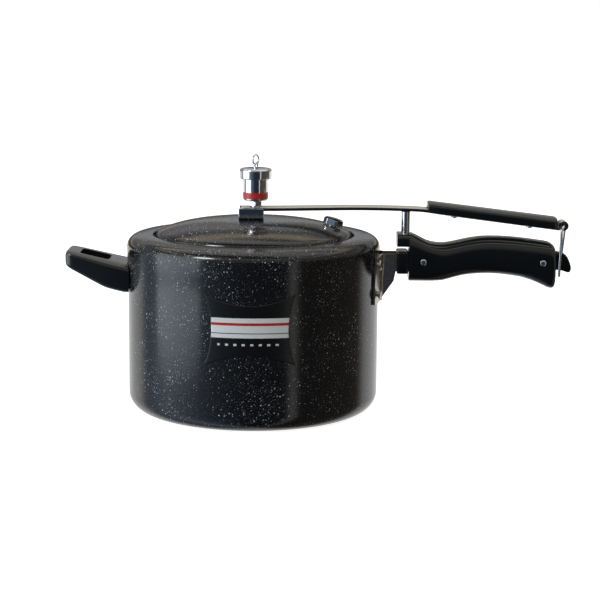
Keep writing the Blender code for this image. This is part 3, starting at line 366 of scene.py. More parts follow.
coat = flecked_coat("flecked_coat")
pot = solid_object("pot_shell", pot_shape, coat)
stands_for(pot, "pot", "pot_body")

# Lid: the same coated aluminium, pressed with a full dome and a rolled edge. It hangs inside
# the mouth with a rubber ring on its flange, under the rim.
CROWN = 0.0134
LID_SHEET = 0.0024
LID_SIDE = MOUTH - 0.0017
LID_ROLL = 0.0070
LID_FLANGE = 0.0057
DOME_EDGE = 0.0037
DOME_RADIUS = LID_SIDE - 0.0053
DOME_POWER = 3.4
FLANGE_TOP = rim_height(LID_SIDE + LID_FLANGE) - POT_WALL - 0.0019 - 0.0006


def dome_height(radius):
    return POT_HEIGHT + CROWN - (CROWN - DOME_EDGE) * (radius / DOME_RADIUS) ** DOME_POWER


roll_from = math.atan((CROWN - DOME_EDGE) * DOME_POWER / DOME_RADIUS)
dome_end = LID_SIDE - LID_ROLL + LID_ROLL * math.sin(roll_from)
roll_centre = (LID_SIDE - LID_ROLL, dome_height(dome_end) - LID_ROLL * math.cos(roll_from))
roll_start = 90 - math.degrees(roll_from)
crest = [(dome_end * (i / 30) ** 0.8, dome_height(dome_end * (i / 30) ** 0.8)) for i in range(30)]
top = crest + arc(roll_centre, LID_ROLL, roll_start, 0, 16)
top += [(LID_SIDE, FLANGE_TOP), (LID_SIDE + LID_FLANGE, FLANGE_TOP)]
under = [(LID_SIDE + LID_FLANGE, FLANGE_TOP - LID_SHEET), (LID_SIDE - LID_SHEET, FLANGE_TOP - LID_SHEET)]
under += arc(roll_centre, LID_ROLL - LID_SHEET, 0, roll_start, 8)
under += [(max(r - 0.0004, 0.0), h - LID_SHEET) for r, h in reversed(crest)]
lid_shape = spun_shape(top + under, 192)
bmesh.ops.scale(lid_shape, vec=(1.0, OVAL, 1.0), verts=lid_shape.verts)
lid = solid_object("lid_shell", lid_shape, coat, 40)
stands_for(lid, "lid", "lid_plate")

rubber, place = blank_finish("seal_rubber", Roughness=0.75)
bloom = place.noise(420.0, 3.0, 0.6)
wear(
    rubber,
    Base_Color=bloom.blend((0.030, 0.030, 0.031, 1), (0.075, 0.073, 0.070, 1)),
    Normal=place.bump(bloom, 0.2, 0.0001),
)
seal_low = FLANGE_TOP + 0.0003
seal = arc((LID_SIDE + 0.0008, seal_low + 0.0005), 0.0005, 180, 270, 3)
seal += arc((LID_SIDE + 0.0052, seal_low + 0.0005), 0.0005, 270, 360, 3)
seal += arc((LID_SIDE + 0.0052, seal_low + 0.0014), 0.0005, 0, 90, 3)
seal += arc((LID_SIDE + 0.0008, seal_low + 0.0014), 0.0005, 90, 180, 3)
seal_shape = spun_shape(seal, 128, closed=True)
bmesh.ops.scale(seal_shape, vec=(1.0, OVAL, 1.0), verts=seal_shape.verts)
gasket = solid_object("seal_ring", seal_shape, rubber)
stands_for(gasket, "lid", "lid_gasket")
for name in ("vent_washer", "safety_washer"):
    refinish(name, rubber)

# Label: a printed foil with four points and hollow sides, stuck on the front of the wall.
# It has a white band with a red and a black line along it, and a row of dots below.
LABEL_HALF_WIDTH = 0.0385
LABEL_HALF_HEIGHT = 0.0300
LABEL_CENTRE = 0.0882
BAND_CENTRE = 0.0905
SOFT_EDGE = 0.0003
sheet = bmesh.new()
bmesh.ops.create_grid(sheet, x_segments=96, y_segments=48, size=1.0)
for vert in sheet.verts:
    s, t = vert.co.x, vert.co.y
    around = s * LABEL_HALF_WIDTH * (1 - 0.16 * (1 - t * t)) / POT_RADIUS
    height = LABEL_CENTRE + t * LABEL_HALF_HEIGHT * (1 - 0.30 * (1 - s * s))
    radius = wall_radius(height) + 0.0003
    vert.co = (radius * math.sin(around), -radius * math.cos(around), height)
print_film, place = blank_finish("label_print", Specular_IOR_Level=0.5)
across, _, up = place.axes()
band = (0.0085 - abs(up - BAND_CENTRE)).rise(0.0, SOFT_EDGE)
band = band * (0.0330 - abs(across - 0.0008)).rise(0.0, SOFT_EDGE)
red_line = (0.0013 - abs(up - BAND_CENTRE - 0.0032)).rise(0.0, SOFT_EDGE)
black_line = (0.0005 - abs(up - BAND_CENTRE + 0.0045)).rise(0.0, SOFT_EDGE)
beads = (across * 900.0).maths("SINE", across * 900.0).rise(0.25, 0.55)
beads = beads * (0.0010 - abs(up - 0.0765)).rise(0.0, SOFT_EDGE)
beads = beads * (0.0270 - abs(across)).rise(0.0, SOFT_EDGE)
print_colour = band.blend((0.0060, 0.0060, 0.0065, 1), (0.80, 0.82, 0.82, 1))
print_colour = (band * red_line).blend(print_colour, (0.52, 0.030, 0.022, 1))
print_colour = (band * black_line).blend(print_colour, (0.012, 0.012, 0.013, 1))
scuff = place.noise(500.0, 3.0, 0.6)
wear(
    print_film,
    Base_Color=beads.blend(print_colour, (0.75, 0.77, 0.77, 1)),
    Roughness=scuff * 0.12 + 0.22,
    Normal=place.bump(scuff, 0.08, 0.0001),
)
label = solid_object("label_foil", sheet, print_film)
foil = label.modifiers.new("foil", "SOLIDIFY")
foil.thickness = 0.00025
foil.offset = 1.0
stands_for(label, "pot", "label")

# Body bracket: zinc-plated sheet steel, bent to a hat shape, its two flanges riveted to the
# wall. It has fine drawing marks and a faint brown tarnish.
BRACKET_SHEET = 0.0018
plated, place = blank_finish("plated_steel", Metallic=1.0)
lines = place.noise(60.0, 4.0, 0.65, (1.0, 1.0, 24.0))
stain = place.noise(55.0, 3.0, 0.6)
wear(
    plated,
    Base_Color=stain.rise(0.35, 0.75).blend((0.56, 0.52, 0.46, 1), (0.36, 0.30, 0.24, 1)),
    Roughness=stain * 0.14 + lines * 0.12 + 0.16,
    Normal=place.bump(lines, 0.12, 0.0001),
)


def flat_line(points):
    """A bmesh with one open chain of edges through the points."""
    shape = bmesh.new()
    verts = [shape.verts.new(point) for point in points]
    for first, second in zip(verts, verts[1:]):
        shape.edges.new((first, second))
    return shape


def settle(piece):
    """Applies a piece's modifiers to its mesh."""
    bpy.context.view_layer.update()
    graph = bpy.context.evaluated_depsgraph_get()
    mesh = bpy.data.meshes.new_from_object(piece.evaluated_get(graph))
    piece.modifiers.clear()
    piece.data = mesh


def cut(piece, cutter, operation="DIFFERENCE"):
    """Cuts, joins or crosses a piece with another, which is used up."""
    change = piece.modifiers.new("cut", "BOOLEAN")
    change.operation = operation
    change.solver = "EXACT"
    change.object = cutter
    settle(piece)
    bpy.data.objects.remove(cutter)
    piece.data.set_sharp_from_angle(angle=math.radians(35))


def slide(shape, new_parts, way):
    """Moves the vertices among newly extruded parts."""
    verts = [part for part in new_parts if isinstance(part, bmesh.types.BMVert)]
    bmesh.ops.translate(shape, vec=way, verts=verts)


def thicken(piece, thickness):
    """Gives a surface its sheet, half to each side."""
    sheet = piece.modifiers.new("sheet", "SOLIDIFY")
    sheet.thickness = thickness
    sheet.offset = 0.0
    settle(piece)


def break_edges(piece, width, angle):
    """Takes the sharpness off the edges that turn more than an angle."""
    edges = piece.modifiers.new("broken_edges", "BEVEL")
    edges.width = width
    edges.segments = 2
    edges.limit_method = "ANGLE"
    edges.angle_limit = math.radians(angle)
    settle(piece)


def bar_between(start, end, radius, sides=32, end_radius=None):
    """A straight bar, round or many-sided, as a cutter or a blank."""
    start = Vector(start)
    along = Vector(end) - start
    shape = bmesh.new()
    bmesh.ops.create_cone(
        shape, cap_ends=True, segments=sides, radius1=radius,
        radius2=radius if end_radius is None else end_radius, depth=along.length,
    )
    turn = Vector((0, 0, 1)).rotation_difference(along).to_matrix().to_4x4()
    bmesh.ops.transform(shape, matrix=Matrix.Translation(start + along / 2) @ turn, verts=shape.verts)
    return shape


def block(low, high):
    shape = bmesh.new()
    size = Vector(high) - Vector(low)
    middle = Vector(low) + size / 2
    bmesh.ops.create_cube(shape, size=1.0, matrix=Matrix.Translation(middle) @ Matrix.Diagonal((*size, 1)))
    return shape


flange_radius = POT_RADIUS + 0.0003 + BRACKET_SHEET / 2
web = 0.0100 - BRACKET_SHEET / 2
flange_turn = math.degrees(math.asin(0.0360 / flange_radius))
web_turn = math.degrees(math.asin((web + 0.0032) / flange_radius))
half_plan = arc((0, 0), flange_radius, flange_turn, web_turn, 14)
corner_x = half_plan[-1][0] + 0.0034
half_plan += arc((corner_x + 0.0002, web + 0.0030), 0.0030, 205, 270, 6)
half_plan += arc((0.1565 - BRACKET_SHEET / 2 - 0.0030, web - 0.0030), 0.0030, 90, 0, 6)
plan = half_plan + [(x, -y) for x, y in reversed(half_plan)]
strip = flat_line([(x, y, 0.0975) for x, y in plan])
rise = 0.0
for height in (0.1090, 0.1150, 0.1230, 0.1385):
    top_edges = [e for e in strip.edges if all(abs(v.co.z - (0.0975 + rise)) < 1e-6 for v in e.verts)]
    made = bmesh.ops.extrude_edge_only(strip, edges=top_edges)["geom"]
    lift = height - 0.0975 - rise
    slide(strip, made, (0, 0, lift))
    rise += lift
for vert in strip.verts:
    if vert.co.x < 0.114:
        vert.co.x += wall_radius(vert.co.z) - POT_RADIUS
bracket = solid_object("handle_bracket", strip, plated, 40)
thicken(bracket, BRACKET_SHEET)
web_start = POT_RADIUS + 0.0030
outline = [(web_start, 0.09), (web_start, 0.1000), (0.1232, 0.1147), (0.1249, 0.1232),
           (0.17, 0.1232), (0.17, 0.09)]
wedge = bmesh.new()
wedge_face = wedge.faces.new([wedge.verts.new((x, -0.0125, z)) for x, z in outline])
swept = bmesh.ops.extrude_face_region(wedge, geom=[wedge_face])["geom"]
slide(wedge, swept, (0, 0.025, 0))
cut(bracket, solid_object("wedge", wedge))
break_edges(bracket, 0.0003, 50)
stands_for(bracket, "pot", "body_bracket")

# Rivets: plain steel, closed cold, with low round heads. Four hold the bracket and two the
# small bracket on the other side.
def rivet(name, angle, height, shank, sheet):
    outside = wall_radius(height)
    inner = outside - POT_WALL - 0.0006
    outer = outside + 0.0003 + sheet + 0.0009 + SWELL
    head = shank * 1.9
    outline = [(0.0, outer + 0.0020)]
    for a in (0.25, 0.5, 0.75, 1.0, 1.2, 1.35, 1.5):
        outline.append((head * math.sin(a), outer + 0.0020 * math.cos(a) ** 0.8))
    outline += [(head, outer), (shank, outer), (shank, inner), (head * 0.8, inner),
                (head * 0.75, inner - 0.0008), (0.0, inner - 0.0008)]
    shape = spun_shape(outline, 40)
    way = Vector((math.cos(angle), math.sin(angle), 0.0))
    turn = Vector((0, 0, 1)).rotation_difference(way).to_matrix().to_4x4()
    bmesh.ops.transform(shape, matrix=Matrix.Translation((0, 0, height)) @ turn, verts=shape.verts)
    made = solid_object(name + "_head", shape, plated)
    stands_for(made, "pot", name)


number = 0
for side in (-1, 1):
    for height in (0.1316, 0.1064):
        number += 1
        rivet(f"bracket_rivet_{number}", side * math.asin(0.0300 / flange_radius), height, 0.0024, 0.0018)
rivet("helper_rivet_upper", math.pi, 0.1218, 0.0019, 0.0020)
rivet("helper_rivet_lower", math.pi, 0.1102, 0.0019, 0.0020)

# Main handle: one black phenolic moulding, ground at the parting line and polished. Its nose
# reaches over the flame guard and carries the lid's stay.
moulding, place = blank_finish(
    "black_moulding", Specular_IOR_Level=0.55, Coat_Weight=0.25, Coat_Roughness=0.12,
)
cloud = place.noise(45.0, 3.0, 0.6)
peel = place.noise(700.0, 2.0, 0.5)
rub = place.noise(240.0, 4.0, 0.7, (1.0, 1.0, 5.0)).rise(0.55, 0.85)
wear(
    moulding,
    Base_Color=cloud.blend((0.0045, 0.0065, 0.0070, 1), (0.0085, 0.0095, 0.0095, 1)),
    Roughness=cloud * 0.06 + rub * 0.04 + 0.14,
    Normal=place.bump(peel + rub * 0.4, 0.06, 0.0002),
)
SCREW_HEIGHT = 0.1317
FRONT_SCREW = 0.1490
REAR_SCREW = 0.2538
STAY_X = 0.1334
STATION = [
    # x, underside, top, half width, squareness
    (0.1257, 0.1458, 0.1550, 0.0118, 3.0),
    (0.1257, 0.1445, 0.1562, 0.0130, 3.6),
    (0.1263, 0.1444, 0.1564, 0.0137, 3.8),
    (0.1330, 0.1444, 0.1564, 0.0140, 3.8),
    (0.1362, 0.1444, 0.1564, 0.0140, 3.8),
    (0.1362, 0.1150, 0.1564, 0.0140, 3.8),
    (0.1367, 0.1141, 0.1564, 0.0140, 3.8),
    (0.1385, 0.1141, 0.1562, 0.0140, 3.8),
    (0.1405, 0.1141, 0.1553, 0.0140, 3.8),
    (0.1430, 0.1141, 0.1541, 0.0140, 3.8),
    (0.1458, 0.1141, 0.1527, 0.0140, 3.8),
    (0.1520, 0.1141, 0.1496, 0.0139, 3.8),
    (0.1560, 0.1141, 0.1485, 0.0138, 3.6),
    (0.1610, 0.1142, 0.1478, 0.0137, 3.3),
    (0.1660, 0.1145, 0.1477, 0.0136, 3.0),
    (0.1710, 0.1158, 0.1483, 0.0135, 3.0),
    (0.1770, 0.1176, 0.1495, 0.0134, 3.0),
    (0.1837, 0.1193, 0.1511, 0.0134, 3.0),
    (0.1910, 0.1204, 0.1526, 0.0134, 3.0),
    (0.1990, 0.1210, 0.1537, 0.0134, 3.0),
    (0.2070, 0.1212, 0.1541, 0.0134, 3.0),
    (0.2160, 0.1208, 0.1540, 0.0134, 3.0),
    (0.2260, 0.1197, 0.1535, 0.0135, 3.0),
    (0.2350, 0.1183, 0.1527, 0.0136, 3.0),
    (0.2430, 0.1160, 0.1517, 0.0137, 3.2),
    (0.2500, 0.1133, 0.1507, 0.0138, 3.5),
    (0.2550, 0.1110, 0.1500, 0.0139, 3.6),
    (0.2590, 0.1091, 0.1492, 0.0139, 3.6),
    (0.2617, 0.1086, 0.1478, 0.0138, 3.6),
    (0.2636, 0.1092, 0.1462, 0.0136, 3.6),
    (0.2645, 0.1105, 0.1440, 0.0133, 3.6),
    (0.2649, 0.1130, 0.1400, 0.0127, 3.6),
]


def lofted(stations, sides=72, under=None):
    """A closed body drawn through rounded oblong sections that stand across X."""
    shape = bmesh.new()
    turn = shape.verts.layers.float.new("turn")
    ring = bmesh.ops.create_circle(shape, cap_ends=False, segments=sides, radius=1.0)["verts"]
    for vert in ring:
        vert[turn] = math.atan2(vert.co.y, vert.co.x)
    first = list(shape.edges)
    rim = first
    for number, (x, low, high, half, upper) in enumerate(stations):
        if number:
            made = bmesh.ops.extrude_edge_only(shape, edges=rim)["geom"]
            ring = [g for g in made if isinstance(g, bmesh.types.BMVert)]
            rim = [g for g in made if isinstance(g, bmesh.types.BMEdge)]
            rim = [e for e in rim if all(v in ring for v in e.verts)]
        for vert in ring:
            c, s = math.cos(vert[turn]), math.sin(vert[turn])
            square = under if under and s < 0 else upper
            y = half * math.copysign(abs(c) ** (2 / square), c)
            z = (low + high) / 2 + (high - low) / 2 * math.copysign(abs(s) ** (2 / square), s)
            vert.co = (x, y, z)
    bmesh.ops.holes_fill(shape, edges=first + rim, sides=0)
    return shape


handle = solid_object("handle_moulding", lofted(STATION), moulding, 42)
cut(handle, solid_object("pocket", block((0.12, -0.0103, 0.1229), (0.1568, 0.0103, 0.1388))))
cut(handle, solid_object("stay_hole", bar_between((STAY_X, 0, 0.1471), (STAY_X, 0, 0.17), 0.00415, 48)))
cut(handle, solid_object("hook_slot", block((0.2437, -0.0053, 0.1232), (0.28, 0.0053, 0.1411))))
for x in (FRONT_SCREW, REAR_SCREW):
    for side in (-1, 1):
        hole = bar_between((x, side * 0.0118, SCREW_HEIGHT), (x, side * 0.03, SCREW_HEIGHT), 0.0043, 48)
        cut(handle, solid_object("recess", hole))
    bore = bar_between((x, -0.03, SCREW_HEIGHT), (x, 0.03, SCREW_HEIGHT), 0.0023, 32)
    cut(handle, solid_object("bore", bore))
stands_for(handle, "pot", "main_handle")

# Flame guard: a moulded collar round the bracket's neck, between the pot and the handle.
guard_shape = block((0.1257, -0.0122, 0.1210), (0.1359, 0.0122, 0.1407))
bmesh.ops.bevel(
    guard_shape, geom=guard_shape.edges[:], offset=0.0016, segments=4, profile=0.5,
    affect="EDGES", material=-1, clamp_overlap=True,
)
guard = solid_object("neck_collar", guard_shape, moulding)
cut(guard, solid_object("neck", block((0.12, -0.0103, 0.1229), (0.14, 0.0103, 0.1388))))
stands_for(guard, "pot", "flame_guard")

# Handle screws: plated pan heads with a crossed slot, sunk in round recesses, with nuts on
# the far side.
bright, place = blank_finish("bright_plate", Metallic=1.0)
haze = place.noise(300.0, 3.0, 0.6)
hairs = place.noise(2200.0, 2.0, 0.7)
wear(
    bright,
    Base_Color=haze.blend((0.60, 0.63, 0.66, 1), (0.72, 0.74, 0.76, 1)),
    Roughness=haze * 0.06 + 0.06 + hairs * 0.04,
    Normal=place.bump(hairs, 0.03, 0.0001),
)
for name, x in (("front", FRONT_SCREW), ("rear", REAR_SCREW)):
    outline = [(0.0, 0.01330), (0.0016, 0.01325), (0.0025, 0.0130), (0.0031, 0.0126),
               (0.0033, 0.0123), (0.0033, 0.0121), (0.0020, 0.0121), (0.0020, -0.0136), (0.0, -0.0136)]
    shape = spun_shape(outline, 48)
    lay = Matrix.Translation((x, 0, SCREW_HEIGHT)) @ Matrix.Rotation(math.radians(90), 4, "X")
    bmesh.ops.transform(shape, matrix=lay, verts=shape.verts)
    screw = solid_object("pan_head_" + name, shape, bright)
    for turn in (40, 130):
        slot = block((-0.0019, -0.00035, 0.0126), (0.0019, 0.00035, 0.016))
        spin = lay @ Matrix.Rotation(math.radians(turn), 4, "Z")
        bmesh.ops.transform(slot, matrix=spin, verts=slot.verts)
        cut(screw, solid_object("slot", slot))
    stands_for(screw, "pot", "handle_screw_" + name)
    refinish("handle_nut_" + name, bright)

# Latch hook: a separate moulding held in the handle's end slot by the rear screw. Its beak
# turns down and in, and catches the foot of the loop.
def smooth_line(points, count):
    """A smooth line through points, with the ends kept."""
    made = []
    padded = [points[0], *points, points[-1]]
    for a, b, c, d in zip(padded, padded[1:], padded[2:], padded[3:]):
        a, b, c, d = (Vector(p) for p in (a, b, c, d))
        for i in range(count):
            t = i / count
            spot = b * (2 * t**3 - 3 * t**2 + 1) + (c - a) / 2 * (t**3 - 2 * t**2 + t)
            spot += c * (3 * t**2 - 2 * t**3) + (d - b) / 2 * (t**3 - t**2)
            made.append(tuple(spot))
    made.append(tuple(points[-1]))
    return made


def slab(outline, half, rounding, segments=3):
    """An outline in XZ given thickness along Y, with its rims rounded."""
    shape = bmesh.new()
    face = shape.faces.new([shape.verts.new((x, -half, z)) for x, z in outline])
    swept = bmesh.ops.extrude_face_region(shape, geom=[face])["geom"]
    slide(shape, swept, (0, 2 * half, 0))
    rims = [e for e in shape.edges if abs(e.verts[0].co.y - e.verts[1].co.y) < 1e-6]
    bmesh.ops.bevel(
        shape, geom=rims, offset=rounding, segments=segments, profile=0.5, affect="EDGES",
        material=-1, clamp_overlap=True,
    )
    return shape


back = smooth_line([(0.2656, 0.1408), (0.2725, 0.1393), (0.2756, 0.1366), (0.2782, 0.1312),
                    (0.2794, 0.1266), (0.2787, 0.1236), (0.2768, 0.1225), (0.2735, 0.1235),
                    (0.2700, 0.1245), (0.2662, 0.1247)], 4)
hook = solid_object(
    "hook_moulding", slab([(0.2440, 0.1235), (0.2440, 0.1400)] + back + [(0.2655, 0.1235)], 0.0050, 0.0009),
    moulding,
)
hook_bore = bar_between((REAR_SCREW, -0.03, SCREW_HEIGHT), (REAR_SCREW, 0.03, SCREW_HEIGHT), 0.0023, 32)
cut(hook, solid_object("bore", hook_bore))
stands_for(hook, "pot", "latch_hook")

# Lid stay: a turned and plated post, pressed into the handle's nose. The bar rocks on it.
STAY_TOP = 0.1775 - 0.0013 - 0.0004
stay_shape = spun_shape(
    [(0.0, STAY_TOP)] + arc((0.00385 - 0.0011, STAY_TOP - 0.0011), 0.0011, 90, 0, 5)
    + [(0.00385, 0.1474), (0.0, 0.1474)], 64,
)
bmesh.ops.translate(stay_shape, vec=(STAY_X, 0, 0), verts=stay_shape.verts)
stay = solid_object("stay_post", stay_shape, bright)
stands_for(stay, "pot", "lid_stay")

# Helper handle: a tapered black moulding with a slot for the fingers, screwed from below to
# a small riveted bracket.
HELPER = [
    # x, underside, top, half width, squareness
    (-0.1004, 0.1044, 0.1262, 0.0300, 8.0),
    (-0.1120, 0.1047, 0.1289, 0.0294, 8.0),
    (-0.1200, 0.1064, 0.1306, 0.0287, 8.0),
    (-0.1270, 0.1082, 0.1322, 0.0281, 8.0),
    (-0.1310, 0.1098, 0.1331, 0.0276, 8.0),
    (-0.1400, 0.1144, 0.1352, 0.0264, 8.0),
    (-0.1500, 0.1197, 0.1375, 0.0250, 8.0),
    (-0.1570, 0.1234, 0.1390, 0.0241, 8.0),
    (-0.1600, 0.1250, 0.1396, 0.0234, 7.0),
    (-0.1618, 0.1262, 0.1398, 0.0224, 6.5),
    (-0.1629, 0.1275, 0.1392, 0.0208, 6.0),
    (-0.1635, 0.1295, 0.1375, 0.0185, 6.0),
]
helper = solid_object("helper_moulding", lofted(HELPER, 96), moulding, 42)
opening = block((-0.1515, -0.0140, 0.09), (-0.1260, 0.0140, 0.16))
upright = [e for e in opening.edges if abs(e.verts[0].co.z - e.verts[1].co.z) > 0.01]
bmesh.ops.bevel(opening, geom=upright, offset=0.0040, segments=6, profile=0.5, affect="EDGES", material=-1)
cut(helper, solid_object("opening", opening))
cut(helper, solid_object("wall", bar_between((0, 0, 0.09), (0, 0, 0.16), POT_RADIUS + SWELL + 0.0003, 192)))
cut(helper, solid_object("seat", block((-0.1168, -0.0135, 0.1057), (-0.10, 0.0135, 0.1263))))
cut(helper, solid_object("bore", bar_between((-0.1206, 0, 0.10), (-0.1206, 0, 0.1108), 0.0034, 32)))
break_edges(helper, 0.0006, 60)
stands_for(helper, "pot", "helper_handle")
for name in ("helper_bracket", "helper_screw"):
    refinish(name, plated)

# Lid bar: a bowed strip of stainless spring steel, rolled into an eye at each end, with a brushed grain
# along its length. Its upward faces carry a painted cream reflection, with less metal to them, and its
# sides and underside a painted dark shade.
PIN_X, PIN_Z = -0.0084, 0.1736
VENT_X = 0.0015
EYE = Vector((0.2713, 0.0, 0.1641))
BAR_SHEET = 0.0026
ROLL = 0.0029
SLOPE = math.radians(-7.1)
spring_steel, place = blank_finish("brushed_spring_steel")
# Painted light: faces turned upwards get a light cream colour, a painted reflection, and the sides and
# underside a dark grey, painted shade.
up_normal_for_painted_light = Wire(place.tree, place.tree.nodes.new("ShaderNodeNewGeometry").outputs["Normal"]).axes()[2]
face = up_normal_for_painted_light.rise(0.30, 0.80)
grain = place.noise(1500.0, 3.0, 0.7, (0.015, 1.0, 1.0))
warm = place.noise(30.0, 2.0, 0.5)
wear(
    spring_steel,
    Base_Color=face.blend((0.10, 0.10, 0.10, 1), warm.blend((0.74, 0.70, 0.61, 1), (0.84, 0.81, 0.74, 1))),
    Metallic=1.0 - face * 0.45,
    Roughness=grain * 0.14 + 0.22,
    Normal=place.bump(grain, 0.05, 0.0001),
)
meet = 270 + math.degrees(SLOPE)
outer_roll = arc((EYE.x, EYE.z), ROLL, meet, meet + 290, 36)


def grip_line(x):
    return outer_roll[0][1] + (x - outer_roll[0][0]) * math.tan(SLOPE)


inner_roll = arc((PIN_X, PIN_Z), ROLL, 380, 90, 36)
bow = [inner_roll[-1], (0.0200, inner_roll[-1][1] + 0.0002), (0.0900, 0.1780), (STAY_X, 0.1775),
       (0.1520, grip_line(0.1520) + 0.0004), (0.1700, grip_line(0.1700)),
       (outer_roll[0][0] - 0.004, grip_line(outer_roll[0][0] - 0.004))]
middle = inner_roll[:-1] + smooth_line(bow, 12) + outer_roll
ribbon = flat_line([(x, -0.0098, z) for x, z in middle])
swept = bmesh.ops.extrude_edge_only(ribbon, edges=ribbon.edges[:])["geom"]
slide(ribbon, swept, (0, 0.0196, 0))
bar = solid_object("spring_bar", ribbon, spring_steel, 40)
thicken(bar, BAR_SHEET)
cut(bar, solid_object("hole", bar_between((VENT_X, 0, 0.16), (VENT_X, 0, 0.19), 0.0052, 48)))
for side in (-1, 1):
    low, high = sorted((side * 0.0075, side * 0.02))
    cut(bar, solid_object("trim", block((0.2664, low, 0.14), (0.29, high, 0.18))))
break_edges(bar, 0.00035, 50)
bar.data.set_sharp_from_angle(angle=math.radians(40))
stands_for(bar, "bar", "lid_bar")

# Bar grip: a black moulding over the bar's outer half, open underneath, held by two screws.
GRIP = [
    # x, height over the strip's middle, half width, squareness
    (0.1522, 0.0072, 0.0108, 3.2),
    (0.1526, 0.0080, 0.0116, 3.2),
    (0.1540, 0.0084, 0.0122, 3.2),
    (0.1750, 0.0086, 0.0122, 3.2),
    (0.2050, 0.0088, 0.0122, 3.2),
    (0.2350, 0.0090, 0.0122, 3.2),
    (0.2620, 0.0092, 0.0122, 3.2),
    (0.2646, 0.0091, 0.0119, 3.2),
    (0.2653, 0.0087, 0.0113, 3.2),
    (0.2656, 0.0078, 0.0104, 3.2),
]
grip_stations = [
    (x, grip_line(x) - BAR_SHEET / 2, grip_line(x) + high, half, square) for x, high, half, square in GRIP
]
grip = solid_object("grip_moulding", lofted(grip_stations, 72, under=7.0), moulding, 42)
roof = [(x, z + BAR_SHEET / 2 + 0.0003) for x, z in smooth_line(bow, 12) if x > STAY_X]
roof.append((0.29, grip_line(0.29) + BAR_SHEET / 2 + 0.0003))
channel = bmesh.new()
cut_line = roof + [(0.29, 0.14), (STAY_X, 0.14)]
face = channel.faces.new([channel.verts.new((x, -0.0101, z)) for x, z in cut_line])
swept = bmesh.ops.extrude_face_region(channel, geom=[face])["geom"]
slide(channel, swept, (0, 0.0202, 0))
cut(grip, solid_object("channel", channel))
mouth_low = grip_line(0.152)
cut(grip, solid_object("mouth", block((0.147, -0.0101, mouth_low), (0.1565, 0.0101, mouth_low + 0.0036))))
stands_for(grip, "bar", "bar_grip")
for name in ("grip_screw_1", "grip_screw_2"):
    refinish(name, bright)

# Lock loop: 2.2 mm plated wire bent to an oblong and brazed, hung in the bar's outer eye.
LOOP_WIRE = 0.0011
foot = EYE.z - 0.0445
corners = [
    (EYE.x, -0.0090, EYE.z), (EYE.x - 0.0024, -0.0115, EYE.z - 0.0030),
    (EYE.x - 0.0034, -0.0115, foot + 0.0025), (EYE.x - 0.0027, -0.0090, foot),
    (EYE.x, 0.0090, foot), (EYE.x + 0.0002, 0.0115, foot + 0.0025),
    (EYE.x + 0.0040, 0.0115, EYE.z - 0.0030), (EYE.x, 0.0090, EYE.z),
]
path = []
for i, corner in enumerate(corners):
    corner = Vector(corner)
    before, after = Vector(corners[i - 1]), Vector(corners[(i + 1) % len(corners)])
    first = corner + (before - corner).normalized() * min(0.0016, (before - corner).length * 0.4)
    last = corner + (after - corner).normalized() * min(0.0016, (after - corner).length * 0.4)
    for k in range(7):
        t = k / 6
        path.append(first.lerp(corner, t).lerp(corner.lerp(last, t), t))


def wire_object(name, points, radius, material, closed=True):
    """A round wire along a path, as a mesh."""
    curve = bpy.data.curves.new(name, "CURVE")
    curve.dimensions = "3D"
    curve.bevel_depth = radius
    curve.bevel_resolution = 5
    curve.use_fill_caps = True
    line = curve.splines.new("POLY")
    line.points.add(len(points) - 1)
    for point, spot in zip(line.points, points):
        point.co = (*spot, 1.0)
    line.use_cyclic_u = closed
    holder = bpy.data.objects.new(name + "_curve", curve)
    scene.collection.objects.link(holder)
    bpy.context.view_layer.update()
    mesh = bpy.data.meshes.new_from_object(holder.evaluated_get(bpy.context.evaluated_depsgraph_get()))
    bpy.data.objects.remove(holder)
    shape = bmesh.new()
    shape.from_mesh(mesh)
    return solid_object(name, shape, material, 50)


loop = wire_object("wire_loop", path, LOOP_WIRE, bright)
stands_for(loop, "loop", "lock_loop")

# Saddle: polished stainless channel on the crown, clamped by the vent pipe. The bar's inner
# eye turns on a pin between its walls.
SADDLE_FLOOR = POT_HEIGHT + CROWN + 0.0003
mirror_steel, place = blank_finish("polished_stainless", Metallic=1.0)
buffed = place.noise(900.0, 3.0, 0.7, (1.0, 1.0, 0.08))
tone = place.noise(120.0, 2.0, 0.5)
wear(
    mirror_steel,
    Base_Color=tone.blend((0.48, 0.54, 0.62, 1), (0.60, 0.66, 0.72, 1)),
    Roughness=buffed * 0.10 + 0.10,
    Normal=place.bump(buffed, 0.05, 0.0001),
)
half = 0.0126 - 0.00065
low = SADDLE_FLOOR + 0.00065
section = [(-half, SADDLE_FLOOR + 0.0097)] + arc((-half + 0.0016, low + 0.0016), 0.0016, 180, 270, 6)
section += arc((half - 0.0016, low + 0.0016), 0.0016, 270, 360, 6) + [(half, SADDLE_FLOOR + 0.0097)]
channel = flat_line([(-0.0129, y, z) for y, z in section])
swept = bmesh.ops.extrude_edge_only(channel, edges=channel.edges[:])["geom"]
slide(channel, swept, (0.0215, 0, 0))
saddle = solid_object("bar_saddle", channel, mirror_steel, 40)
thicken(saddle, 0.0013)
cut(saddle, solid_object("hole", bar_between((VENT_X, 0, 0.16), (VENT_X, 0, 0.1695), 0.0034, 32)))
break_edges(saddle, 0.0003, 50)
stands_for(saddle, "lid", "lid_saddle")
pin_shape = bar_between((PIN_X, -0.0110, PIN_Z), (PIN_X, 0.0110, PIN_Z), 0.0013, 32)
pin_ends = [e for e in pin_shape.edges if abs(e.verts[0].co.y - e.verts[1].co.y) < 1e-6]
bmesh.ops.bevel(
    pin_shape, geom=pin_ends, offset=0.0003, segments=3, profile=0.5, affect="EDGES", material=-1,
)
pin = solid_object("eye_pin", pin_shape, plated)
stands_for(pin, "lid", "saddle_pin")

